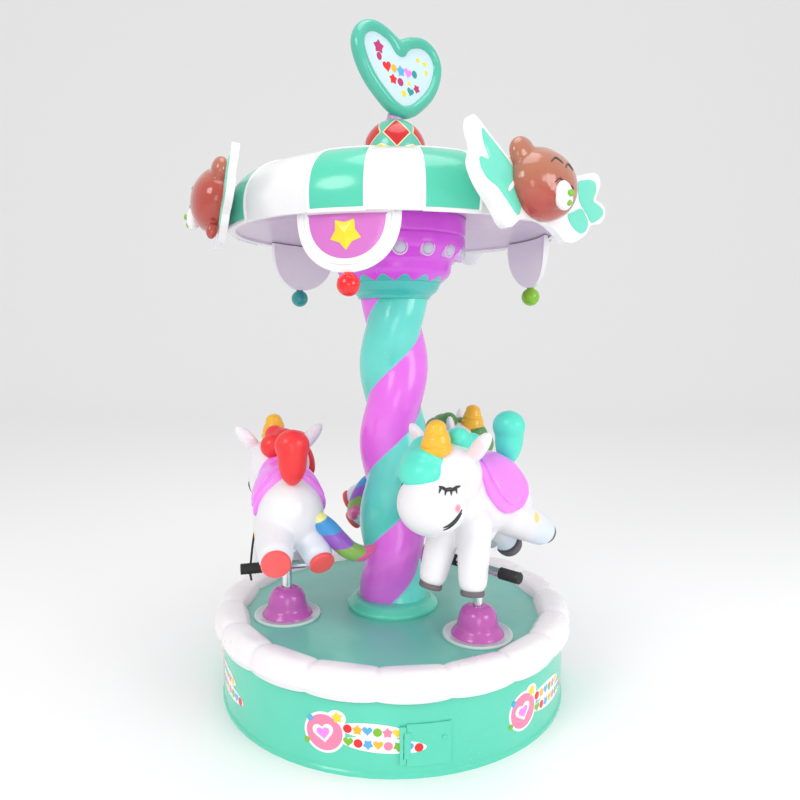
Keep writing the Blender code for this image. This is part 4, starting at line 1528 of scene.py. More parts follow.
@dataclass
class Column:
    """The twisted two-strand column with its foot and neck."""

    low: float = 0.2803
    high: float = 1.25
    radius: float = 0.088
    shift: float = 0.022
    turn: float = 0.505
    centre: float = 1.04
    soft: float = 0.04

    def strand(self, point: Vector) -> float:
        """Where a point lies on the strands: 1 in the mint one's middle, -1 in the pink one's."""
        around = atan2(point.y, point.x)
        return cos(around - pi - 2.0 * pi * (point.z - self.centre) / self.turn)

    def build(self, frame: dict) -> None:
        """Makes the column and finishes the parts round it.

        Args:
            frame: The loaded frame.
        """
        rows = 150
        profile = [(0.0, self.low)]
        profile += [(0.1, self.low + (self.high - self.low) * i / rows) for i in range(rows + 1)]
        profile.append((0.0, self.high))
        bm = lathe(profile, 160)
        for vert in bm.verts:
            flat = hypot(vert.co.x, vert.co.y)
            if flat > 0.05:
                off = abs(self.strand(vert.co))
                soft = hypot(off, self.soft)
                across = self.shift * sqrt(max(0.0, 1.0 - off * off))
                grown = self.shift * soft + sqrt(self.radius**2 - across**2)
                vert.co.x *= grown / flat
                vert.co.y *= grown / flat
        mesh = as_mesh(outward(bm))
        stamp(mesh, "mint_strand", lambda p: self.strand(p) * 0.05)
        fit("column_strands", mesh, STRANDS, Part.DECK, Slot.TURQUOISE, ["twisted_column"])
        self.foot()
        self.neck()

    def foot(self) -> None:
        """The moulded foot ring."""
        profile = [
            (0.0, 0.2483), (0.1485, 0.2483), (0.15, 0.253), (0.1497, 0.2585), (0.147, 0.2625),
            (0.141, 0.266), (0.136, 0.271), (0.132, 0.276), (0.125, 0.2792), (0.118, 0.28), (0.0, 0.28),
        ]
        mesh = as_mesh(lathe(profile, 128))
        fit("column_foot_shell", mesh, MINT, Part.DECK, Slot.MINT, ["column_foot"], SOFT)

    def neck(self) -> None:
        """The flared neck under the collar."""
        line = rounded([(0.113, 1.2503), (0.119, 1.261), (0.134, 1.273), (0.145, 1.292), (0.149, 1.3)], 5)
        profile = [(0.0, 1.2503), *line, (0.0, 1.3)]
        mesh = as_mesh(lathe(profile, 128))
        fit("column_neck_shell", mesh, NECK, Part.DECK, Slot.TURQUOISE, ["column_neck"])


@dataclass
class Collar:
    """The violet lamp collar."""

    lamps: int = 16
    first_lamp: float = 4.3
    lamp_z: float = 1.391
    lamp_r: float = 0.018
    lamp_at: float = 0.2165
    lamp_tilt: float = 102.0
    waves: int = 16
    wave_z: float = 1.309
    wave_h: float = 0.0085
    outline: tuple[Flat, ...] = (
        (0.149, 1.3003), (0.165, 1.313), (0.178, 1.33), (0.185, 1.362), (0.206, 1.382),
        (0.2225, 1.4), (0.2245, 1.432),
    )

    def build(self) -> None:
        """Makes the collar and its lamps."""
        side = rounded(self.outline, 6)
        side += [(0.2238, 1.435), (0.2212, 1.4378), (0.221, 1.4392), (0.2238, 1.442), (0.2248, 1.446)]
        side += [(0.2245, 1.472), (0.2245, 1.499), (0.2235, 1.5)]
        bm = lathe([(0.0, 1.3003), *side, (0.0, 1.5)], 192)
        mesh = as_mesh(bm)
        stamp(mesh, "above_wave", self.above)
        fit("light_collar_shell", mesh, COLLAR, Part.DECK, Slot.VIOLET, ["light_collar"], SOFT)
        self.set_lamps()

    def above(self, point: Vector) -> float:
        """How far a point is above the wavy paint line."""
        around = atan2(point.x, -point.y)
        return point.z - (self.wave_z - self.wave_h * cos(around * self.waves))

    def set_lamps(self) -> None:
        """Sets a ring of domed lamps in raised bezels."""
        r = self.lamp_r
        lens = [(0.0, -0.014), (r, -0.014), *arc(r, r * 0.62, 0.0, 78.75, 7), (0.0, r * 0.62)]
        ring = [(r + 0.0002, -0.016), *arc(-0.003, 0.0035, 0.0, 180.0, 8, (r + 0.0032, 0.0))]
        ring.append((r + 0.0062, -0.016))
        lens_mesh, ring_mesh = as_mesh(lathe(lens, 32)), as_mesh(lathe(ring, 32))
        lenses, rings = bmesh.new(), bmesh.new()
        for i in range(self.lamps):
            angle = self.first_lamp + 360.0 / self.lamps * i
            seat = at_station(angle, self.lamp_at, self.lamp_z) @ spin(self.lamp_tilt, "X")
            lenses.from_mesh(moved(lens_mesh, seat))
            rings.from_mesh(moved(ring_mesh, seat))
        fit("lamp_lenses", as_mesh(lenses), LENS, Part.DECK, Slot.ICE)
        fit("lamp_bezels", as_mesh(rings), BEZEL, Part.DECK, Slot.VIOLET)


# Canopy


@dataclass
class Canopy:
    """The striped dome with its piping, its soffit and its lilac ceiling."""

    panels: tuple[tuple[float, float, float, float], ...] = (
        (-25.0, -8.0, 0.009, 0.003), (8.0, 25.0, 0.003, 0.009), (42.0, 68.0, 0.009, 0.009),
    )
    panel_low: float = 0.002
    panel_high: float = 0.264
    pipe: float = 0.0034
    bend: float = 5.1
    outer: tuple[Flat, ...] = (
        (0.51, 1.445), (0.5135, 1.47), (0.514, 1.5), (0.508, 1.53), (0.496, 1.557), (0.475, 1.582),
        (0.444, 1.604), (0.4, 1.621), (0.3, 1.648), (0.2, 1.673), (0.11, 1.689),
    )
    line: list[Flat] = field(default_factory=list)

    def build(self, frame: dict) -> None:
        """Makes the dome with its stripes and soffit, and finishes the ceiling.

        Args:
            frame: The loaded frame.
        """
        self.line = rounded(self.outer, 6)
        self.dome()
        self.stripes()
        self.soffit()
        repaint(frame, "canopy_ceiling", LILAC, Slot.LILAC)

    def soffit(self) -> None:
        """The smooth lilac cone under the ceiling, from the collar out to the lip."""
        profile = [
            (0.2262, 1.499), (0.2262, 1.4975), (0.3, 1.489), (0.4, 1.4735), (0.46, 1.46),
            (0.496, 1.451), (0.499, 1.454), (0.503, 1.46), (0.5036, 1.499),
        ]
        mesh = as_mesh(lathe(profile, 192))
        fit("canopy_soffit", mesh, LILAC, Part.DECK, Slot.LILAC, (), SOFT)

    def dome(self) -> None:
        """The white shell, hollow underneath, with a rolled lip; the inner face of its rim is painted a
        darker lilac, the underside's lilac deepened by painted shade.
        """
        lining = [
            (0.106, 1.682), (0.3, 1.643), (0.396, 1.6135), (0.438, 1.5975), (0.468, 1.5765),
            (0.489, 1.5525), (0.5045, 1.508), (0.506, 1.47), (0.5045, 1.4585),
        ]
        inner = rounded(list(reversed(lining)), 4)
        lip = [(0.4935, 1.458), (0.49, 1.456), (0.4895, 1.451), (0.49, 1.4462), (0.4935, 1.445)]
        profile = [(0.0, 1.689), *reversed(self.line), (0.5065, 1.444)]
        profile += [*reversed(lip), *inner, (0.0, 1.682)]
        mesh = as_mesh(lathe(profile, 288))
        # the inside mask covers the rim's inner face, painted darker lilac: the underside's colour plus
        # painted shade
        stamp(mesh, "inside", lambda p: 0.5075 - hypot(p.x, p.y) if 1.4575 < p.z < 1.53 else -0.01)
        fit("canopy_shell", mesh, DOME, Part.DECK, Slot.WHITE, ["canopy_dome"], SOFT)

    def surface(self, along: float) -> tuple[Flat, Flat]:
        """A point of the dome's outline and the direction out of it.

        Args:
            along: How far up the outline, in metres from the rim.

        Returns:
            The point and its normal, both as radius and height.
        """
        done = 0.0
        for a, b in zip(self.line, self.line[1:]):
            run = dist(a, b)
            if done + run >= along:
                share = (along - done) / run
                point = (a[0] + (b[0] - a[0]) * share, a[1] + (b[1] - a[1]) * share)
                return point, ((b[1] - a[1]) / run, -(b[0] - a[0]) / run)
            done += run
        return self.line[-1], (0.0, 1.0)

    def on_dome(self, x: float, y: float, up: float) -> Vector:
        """The point at an angle in tenths of a radian, a height along the outline and a distance over it."""
        (radius, height), (out, rise) = self.surface(y)
        return polar(x * 10.0, radius + out * up, height + rise * up)

    def stripe_outline(self, start: float, stop: float, first: float, second: float) -> list[Flat]:
        """A stripe's outline with two rounded upper corners.

        Args:
            start: Its first station angle.
            stop: Its last station angle.
            first: The bend of its upper corner at the start.
            second: The bend of the other upper corner.

        Returns:
            The outline, as angle in tenths of a radian and height along the dome.
        """
        left, right = radians(start) / 10.0, radians(stop) / 10.0
        low, high = self.panel_low, self.panel_high
        first_y, second_y = first * self.bend, second * self.bend
        made = [(left + (right - left) * i / 16, low) for i in range(16)]
        made += [(right, low + (high - second_y - low) * i / 16) for i in range(17)]
        made += arc(second, second_y, 11.25, 78.75, 6, (right - second, high - second_y))
        made += [(right - second - (right - left - first - second) * i / 10, high) for i in range(11)]
        made += arc(first, first_y, 101.25, 168.75, 6, (left + first, high - first_y))
        made += [(left, high - first_y - (high - first_y - low) * i / 16) for i in range(16)]
        return made

    def stripes(self) -> None:
        """The mint stripes with raised white piping round each."""
        fields, pipes = [], []
        for turn in (0.0, 120.0, 240.0):
            for start, stop, first, second in self.panels:
                outline = self.stripe_outline(start + turn, stop + turn, first, second)
                fields.append(patch(outline, self.on_dome, 0.0016, 0.0012, 120, 14))
                fine = evenly(outline, 150)
                path = [self.on_dome(x, y, 0.0004) for x, y in fine]
                normals = [self.on_dome(x, y, 1.0) - self.on_dome(x, y, 0.0) for x, y in fine]
                pipes.append(hoop(path, normals, self.pipe, 10, [self.pipe * 1.7] * len(path)))
        fit("canopy_stripes", joined(fields), MINT_STRIPE, Part.DECK, Slot.MINT, (), SMOOTH)
        fit("canopy_piping", joined(pipes), WHITE, Part.DECK, Slot.WHITE, (), SMOOTH)


@dataclass
class Scallops:
    """The three hanging scallops with their stars and pendant balls."""

    wide: float = 0.28
    drop: float = 0.157
    turn: float = 59.0
    top: float = 1.453
    radius: float = 0.48
    half: float = 0.008
    border: float = 0.0215
    star_r: float = 0.042
    star_z: float = 1.3925
    ball_r: float = 0.03
    ball_z: float = 1.2662
    ball_at: float = 0.48

    def edge(self, inset: float, top_inset: float) -> list[Flat]:
        """The scallop's outline, moved inwards.

        Args:
            inset: How far in the sides and foot are.
            top_inset: How far down the top is.

        Returns:
            The outline, as arc length and height.
        """
        half, drop = self.wide / 2 - inset, self.drop - inset
        made = []
        for i in range(61):
            a = pi * i / 60
            fall = sin(a)
            reach = (max(0.0, 1.0 - fall**2.5)) ** 0.5 * half
            made.append((copysign(reach, -cos(a)), self.top - fall * drop))
        if top_inset:
            made = [(x, min(z, self.top - top_inset)) for x, z in made]
        return made

    def build(self) -> None:
        """Makes the three sets."""
        balls = ((RED, Slot.RED), (LIME, Slot.LIME), (TEAL, Slot.TEAL))
        where, half = on_drum(self.radius), self.half
        shell = as_mesh(patch(self.edge(0.0, 0.0), where, half, half, 140, 12))
        inner = self.edge(self.border, 0.006)
        panel = as_mesh(patch(inner, where, half + 0.0012, -half + 0.0016, 120, 10))
        line = evenly(inner, 140)
        path = [where(x, z, half + 0.0004) for x, z in line]
        normals = [where(x, z, 1.0) - where(x, z, 0.0) for x, z in line]
        bead = as_mesh(hoop(path, normals, 0.003))
        outline = star_outline(self.star_r, (0.0, self.star_z), 57.0)
        star = as_mesh(patch(outline, where, half + 0.0105, -half + 0.001, 120, 8, 0.42, 1.2))
        for i, station in enumerate(STATIONS):
            name = f"scallop_{i + 1}"
            pieces = (
                ("_shell", shell, WHITE, Slot.WHITE, [name], SOFT),
                ("_field", panel, ORCHID_FIELD, Slot.ORCHID, (), SOFT),
                ("_bead", bead, WHITE, Slot.WHITE, (), SMOOTH),
                ("_star", star, YELLOW, Slot.CORAL, (), SOFT),
            )
            for tail, mesh, finish, slot, nodes, crease in pieces:
                hung = moved(mesh, spin(station + self.turn))
                fit(name + tail, hung, finish, Part.DECK, slot, nodes, crease)
            ball = self.pendant()
            ball.transform(at_station(station + self.turn + 0.6, self.ball_at, self.ball_z))
            finish, slot = balls[i]
            fit(f"pendant_{i + 1}", ball, finish, Part.DECK, slot, [f"scallop_ball_{i + 1}"])

    def pendant(self) -> Mesh:
        """A ball with a flattened boss on top where it screws on."""
        r = self.ball_r
        profile = [(0.0, -r), *arc(r, r, -84.0, 66.0, 25)]
        profile += [(r * 0.42, r * 0.935), (r * 0.4, r), (0.0, r)]
        return as_mesh(lathe(profile, 64))


# Bears


@dataclass
class Bears:
    """The bear heads on their winged plates, built about the plate's pivot."""

    radius: float = 0.5145
    tilt: float = 8.0
    pivot: float = 1.498
    thick: float = 0.02
    plate_z: float = 1.53
    eye_angles: Flat = (30.0, -6.0)
    muzzle_at: float = 11.5
    snout_at: float = 28.0
    snout_out: float = 0.0465
    axis: Flat = (-0.018, -0.035)
    face_x: float = -0.014
    back: float = -0.0195
    muzzle_z: float = 1.476
    muzzle_out: Flat = (0.108, 0.07)
    turns: Flat = (26.0, 0.0)
    outline: tuple[Flat, ...] = (
        (0.0, 0.05), (0.11, 0.05), (0.207, 0.06), (0.255, 0.073), (0.31, 0.085), (0.339, 0.079),
        (0.343, 0.056), (0.322, 0.027), (0.305, 0.005), (0.338, -0.002), (0.358, -0.018),
        (0.348, -0.043), (0.314, -0.065), (0.258, -0.077), (0.23, -0.102), (0.186, -0.123),
        (0.139, -0.138), (0.097, -0.137), (0.069, -0.121), (0.0, -0.095), (-0.1, -0.1),
        (-0.13, -0.112), (-0.155, -0.126), (-0.18, -0.128), (-0.196, -0.119), (-0.212, -0.099),
        (-0.228, -0.08), (-0.25, -0.06), (-0.272, -0.038), (-0.288, -0.013), (-0.296, 0.013),
        (-0.284, 0.042), (-0.282, 0.058), (-0.29, 0.082), (-0.291, 0.1), (-0.28, 0.122),
        (-0.26, 0.124), (-0.214, 0.096), (-0.178, 0.073), (-0.13, 0.05),
    )
    near: tuple[Flat, ...] = (
        (-0.242, 0.1), (-0.22, 0.087), (-0.186, 0.067), (-0.148, 0.042), (-0.119, 0.017),
        (-0.109, -0.01), (-0.096, -0.034), (-0.104, -0.064), (-0.122, -0.094), (-0.147, -0.078),
        (-0.172, -0.057), (-0.203, -0.033), (-0.236, -0.022), (-0.253, -0.009), (-0.264, 0.009),
        (-0.264, 0.028), (-0.244, 0.028), (-0.226, 0.028), (-0.231, 0.045), (-0.241, 0.065),
        (-0.244, 0.084),
    )
    far_upper: tuple[Flat, ...] = (
        (0.204, 0.038), (0.22, 0.047), (0.271, 0.058), (0.306, 0.056), (0.309, 0.034), (0.284, 0.001),
        (0.297, -0.012), (0.337, -0.019), (0.335, -0.037), (0.297, -0.058), (0.26, -0.068),
        (0.239, -0.048), (0.21, -0.023), (0.2, -0.006),
    )
    far_lower: tuple[Flat, ...] = (
        (0.128, -0.062), (0.163, -0.048), (0.208, -0.035), (0.229, -0.052), (0.239, -0.072),
        (0.225, -0.093), (0.193, -0.107), (0.162, -0.1), (0.137, -0.084),
    )
    slash: tuple[Flat, ...] = ((-0.165, -0.035), (-0.126, -0.001), (-0.116, -0.005), (-0.156, -0.042))

    def lean(self) -> Matrix:
        """The frame of a plate at the station angle 0."""
        return Matrix.Translation((0.0, -self.radius, self.pivot)) @ spin(-self.tilt, "X")

    def build(self) -> None:
        """Builds one of each part and sets a copy at each station."""
        shift = Matrix.Translation((0.0, -self.thick, self.plate_z - self.pivot))
        board = as_mesh(plate([*rounded(self.outline, 3, closed=True)], self.thick, 0.006))
        board.transform(shift)
        where = on_plate(0.0)
        inlays = []
        for outline in (self.near, self.far_upper, self.far_lower):
            inlays.append(patch(rounded(outline, 4, closed=True), where, 0.0042, 0.001, 96, 6))
        inlay = joined(inlays)
        inlay.transform(shift)
        mark = as_mesh(patch(rounded(self.slash, 4, closed=True), where, 0.0058, -0.003, 40, 3))
        mark.transform(shift)
        heads = [self.head(True, self.turns[0]), self.head(False, self.turns[1])]
        skins = [BVHTree.FromBMesh(from_mesh(head)) for head in heads]
        faces = [self.face(skin, turn) for skin, turn in zip(skins, self.turns)]
        muzzles = [self.muzzle(self.muzzle_at + turn) for turn in self.turns]
        noses = [self.nose(muzzle, self.muzzle_at + turn) for muzzle, turn in zip(muzzles, self.turns)]
        for i, station in enumerate(STATIONS):
            which = min(i, 1)
            pieces = (
                ("wing_plate", board, WHITE, Slot.WHITE, ["bow_plate"], CREASE),
                ("wing_inlay", inlay, MINT_WING, Slot.MINT, (), SOFT),
                ("wing_mark", mark, WHITE, Slot.WHITE, (), CREASE),
                ("bear", heads[which], BEAR, Slot.BROWN, ["bear_head"], SMOOTH),
                ("bear_muzzle", muzzles[which], WHITE, Slot.WHITE, (), SMOOTH),
                ("bear_lines", faces[which], INK, Slot.BROWN, (), SMOOTH),
                ("bear_nose", noses[which], LIME, Slot.LIME, (), SMOOTH),
            )
            fit_all(pieces, f"_{i + 1}", spin(station) @ self.lean(), Part.DECK)

    def head(self, paw: bool, turn: float) -> Mesh:
        """The moulded head, cut flat where it meets the plate.

        Args:
            paw: Whether a small paw shows under it.
            turn: How far its face is turned, in degrees towards -X.

        Returns:
            The head.
        """
        x, y = self.axis
        a = radians(self.snout_at + turn)
        snout = (x - self.snout_out * sin(a), y - self.snout_out * cos(a), -0.016)
        rows = [
            ((x, y, 0.024), (0.12, 0.073 if paw else 0.079, 0.093)),
            ((-0.016, -0.033, 0.052), (0.104, 0.064, 0.07)),
            (snout, (0.048, 0.034, 0.036)),
            ((-0.092, -0.03, 0.096), (0.046, 0.028, 0.043)),
            ((0.06, -0.034, 0.1 if paw else 0.084), (0.038, 0.027, 0.04)),
        ]
        if paw:
            rows.append(((0.062, -0.038, -0.072), (0.018, 0.016, 0.024)))
        bm = blobs(rows)
        made = melt(bm, 0.0035, 4)
        everything = made.verts[:] + made.edges[:] + made.faces[:]
        bmesh.ops.bisect_plane(
            made, geom=everything, plane_co=(0, self.back, 0), plane_no=(0, 1, 0), clear_outer=True,
        )
        bmesh.ops.holes_fill(made, edges=[e for e in made.edges if e.is_boundary], sides=0)
        mesh = as_mesh(outward(made))
        stamp(mesh, "low", lambda p: (0.085 if paw else 0.0) - p.z)
        return mesh

    def on_head(self, skin: BVHTree, angle: float, height: float) -> Matrix:
        """A frame on the head's skin that looks outwards.

        Args:
            skin: The head's surface.
            angle: Degrees from outwards, positive towards -X.
            height: Its height over the pivot.

        Returns:
            The frame.
        """
        out = polar(-radians(angle), 1.0)
        start = Vector((self.face_x, self.axis[1], height))
        point, _, _, _ = skin.ray_cast(start + out * 0.4, -out)
        return facing(point, out)

    def muzzle(self, angle: float) -> Mesh:
        """The white egg-shaped muzzle.

        Args:
            angle: Where it stands on the head, in degrees from outwards.

        Returns:
            The muzzle.
        """
        a = radians(angle)
        (x, y), (wide, deep) = self.axis, self.muzzle_out
        centre = (x - wide * sin(a), y - deep * cos(a), self.muzzle_z - self.pivot)
        return as_mesh(outward(blobs([(centre, (0.031, 0.022, 0.038))])))

    def nose(self, muzzle: Mesh, angle: float) -> Mesh:
        """The green nose and the spot under it.

        Args:
            muzzle: What they stand on.
            angle: Where the muzzle stands on the head.

        Returns:
            The two of them.
        """
        skin = BVHTree.FromBMesh(from_mesh(muzzle))
        centre = sum((vert.co for vert in muzzle.vertices), Vector()) / len(muzzle.vertices)
        made = []
        rows = ((-6.0, -0.001, 0.0115, 0.0085, 0.008), (2.0, -0.024, 0.007, 0.006, 0.005))
        for turn, rise, wide, tall, high in rows:
            out = polar(-radians(angle + turn), 1.0)
            point, _, _, _ = skin.ray_cast(centre + Vector((0.0, 0.0, rise)) + out * 0.3, -out)
            where = on_skin(skin, facing(point, out))
            made.append(patch(round_outline(wide, tall), where, high, 0.001, 40, 8))
        return joined(made)

    def face(self, skin: BVHTree, turn: float) -> Mesh:
        """The two closed eyes and their brows.

        Args:
            skin: The head's surface.
            turn: How far the face is turned, in degrees towards -X.

        Returns:
            The lines.
        """
        lines = []
        steps = [k / 6 - 1.0 for k in range(13)]
        left, right = self.eye_angles
        for angle, eye_z, brow_z in ((left, 1.509, 1.563), (right, 1.497, 1.553)):
            for height, wide, tall, thick in ((eye_z, 0.016, 0.01, 0.0022), (brow_z, 0.019, 0.013, 0.0026)):
                where = on_skin(skin, self.on_head(skin, angle + turn, height - self.pivot))
                arch = [(wide * s, tall * (1.0 - abs(s) ** 1.4) - tall / 2) for s in steps]
                path = [where(x, y, 0.0004) for x, y in arch]
                lines.append(tube(path, [thick * (1.0 - 0.35 * abs(s)) for s in steps], 8))
        return joined(lines)


# Finial


@dataclass
class Finial:
    """The chequered ball, its knob and the heart sign."""

    ball_r: float = 0.098
    ball_z: float = 1.705
    ball_top: float = 1.7992
    diamonds: int = 6
    first: float = 4.0
    thick: float = 0.046
    tube: float = 0.0195
    notch: float = 0.01
    turn: float = 42.0
    lean: float = 5.4
    side: float = 0.012
    low: float = 1.8045
    ring: tuple[Flat, ...] = (
        (0.0, 0.064), (0.022, 0.078), (0.05, 0.094), (0.09, 0.104), (0.122, 0.099),
        (0.148, 0.08), (0.161, 0.05), (0.158, 0.018), (0.142, -0.02), (0.117, -0.055),
        (0.081, -0.088), (0.043, -0.115), (0.0, -0.1275),
    )

    def build(self, frame: dict) -> None:
        """Makes the ball and the sign.

        Args:
            frame: The loaded frame.
        """
        self.ball()
        repaint(frame, "finial_knob", LILAC_KNOB, Slot.LILAC)
        self.sign()

    def pattern(self, point: Vector) -> tuple[float, float]:
        """How far inside a diamond and inside a foot triangle a point lies.

        Args:
            point: A point of the ball.

        Returns:
            The two distances, negative outside.
        """
        height = point.z - self.ball_z
        step = 360.0 / self.diamonds
        round_it = (angle_of(point) - self.first + step / 2) % step - step / 2
        flat = hypot(point.x, point.y)
        across = radians(abs(round_it)) * flat
        middle, tall, wide = 0.04, 0.044, 0.041
        diamond = (1.0 - across / wide - abs(height - middle) / tall) * 0.026
        beside = radians(step / 2 - abs(round_it)) * flat
        foot = (1.0 - beside / 0.062 - max(0.0, height + 0.018) / 0.022) * 0.02
        return diamond, foot

    def ball(self) -> None:
        """The chequered ball, flat on top."""
        r = self.ball_r
        stop = degrees(asin((self.ball_top - self.ball_z) / r))
        side = arc(r, r, -11.0, stop, 90, (0.0, self.ball_z))
        profile = [(0.0, self.ball_z - 0.02), *side, (0.0, self.ball_top)]
        mesh = as_mesh(lathe(profile, 288))
        marks = (
            ("diamond_line", 0, 0.0022),
            ("diamond", 0, -0.0004),
            ("foot_line", 1, 0.0016),
            ("foot", 1, -0.0006),
        )
        for mark, which, grow in marks:
            stamp(mesh, mark, lambda p, w=which, g=grow: self.pattern(p)[w] + g)
        fit("finial_chequer", mesh, HARLEQUIN, Part.DECK, Slot.MINT, ["finial_ball"])

    def loop(self, half: Sequence[Flat]) -> list[Flat]:
        """A whole heart from the points of its right half."""
        left = [(-x, z) for x, z in reversed(half[1:-1])]
        return evenly(rounded([*half, *left], 6, closed=True), 160)

    def sign(self) -> None:
        """The plump heart frame with its face, and the motifs on both sides."""
        stand = spin(self.turn) @ spin(-self.lean, "X")
        edge = self.loop(self.ring)
        path = [Vector((x, 0.0, z)) for x, z in edge]
        spread = [self.tube + self.notch * exp(-((x / 0.022) ** 2)) * (z > 0.0) for x, z in edge]
        frame_mesh = as_mesh(hoop(path, [Vector((0.0, 1.0, 0.0))] * len(path), self.thick / 2, 28, spread))
        frame_mesh.transform(stand)
        foot = min(point.co.z for point in frame_mesh.vertices)
        place = Matrix.Translation((self.side, 0.0, self.low - foot))
        frame_mesh.transform(place)
        face_t = self.thick * 0.45
        face = as_mesh(plate(edge, face_t, 0.001))
        face.transform(place @ stand @ Matrix.Translation((0.0, -face_t / 2, 0.0)))
        fit("heart_rim", frame_mesh, MINT_DARK, Part.DECK, Slot.MINT, ["heart_frame"], SOFT)
        fit("heart_panel", face, ICE, Part.DECK, Slot.ICE, ["heart_face"], SOFT)
        self.motifs(place @ stand, face_t / 2)

    def motifs(self, seat: Matrix, depth: float) -> None:
        """The plain motifs printed on the sign's two sides.

        Args:
            seat: The sign's frame.
            depth: How far its face is from its middle.
        """
        shapes: dict[str, tuple[Finish, list[Shape]]] = {}
        design: list[tuple[Finish, list[Flat]]] = [
            (BERRY, star_outline(0.022, (-0.088, 0.046), 90.0)),
            (BERRY, round_outline(0.01, 0.012, (-0.088, 0.018))),
            (YELLOW, round_outline(0.008, 0.007, (0.074, 0.046))),
            (YELLOW, round_outline(0.008, 0.007, (0.104, 0.042))),
            (YELLOW, round_outline(0.007, 0.008, (0.108, 0.016))),
            (RED, heart_outline(0.034, 0.032, (-0.058, -0.006), 14.0, 0.15)),
            (GOLD, round_outline(0.011, 0.012, (-0.03, -0.004))),
            (SKY, star_outline(0.018, (-0.002, -0.006), 100.0)),
            (ORCHID, heart_outline(0.032, 0.03, (0.028, -0.006), -10.0, 0.15)),
            (TEAL, round_outline(0.011, 0.012, (0.056, -0.002))),
            (RED, star_outline(0.017, (-0.036, -0.038), 90.0)),
            (BERRY, round_outline(0.012, 0.012, (-0.006, -0.04))),
            (YELLOW, round_outline(0.007, 0.006, (0.03, -0.036))),
            (YELLOW, star_outline(0.013, (0.006, -0.072), 90.0)),
            (TEAL, heart_outline(0.028, 0.026, (0.034, -0.062), -12.0, 0.15)),
            (BERRY, star_outline(0.015, (0.062, -0.046), 120.0)),
        ]
        for facing_back in (False, True):
            flip = Matrix.Rotation(pi, 4, "Z") if facing_back else Matrix.Identity(4)
            for finish, outline in design:
                piece = patch(outline, on_plate(-depth), 0.0008, 0.0006, 48, 3)
                bmesh.ops.transform(piece, matrix=seat @ flip, verts=piece.verts)
                shapes.setdefault(finish.name, (finish, []))[1].append(piece)
        for name, (finish, pieces) in shapes.items():
            fit("heart_motifs_" + name, joined(pieces), finish, Part.DECK, Slot.CORAL)


# Unicorns


@dataclass(frozen=True)
class Coat:
    """What differs from one unicorn to the next."""

    hair: Gelcoat
    hair_slot: Slot
    pads: Gelcoat
    pad_slot: Slot
    strap: bool
    block: float


COATS = (
    Coat(CORAL, Slot.CORAL, CORAL_PAD, Slot.CORAL, True, 1.0),
    # the second unicorn's pads take a dark grey that is painted shade for hooves in shadow
    Coat(TURQUOISE, Slot.TURQUOISE, PAD_PAINTED_SHADE, Slot.STEEL, False, 3.0),
    Coat(LEAF, Slot.GREEN, CORAL_PAD, Slot.CORAL, True, 1.0),
)


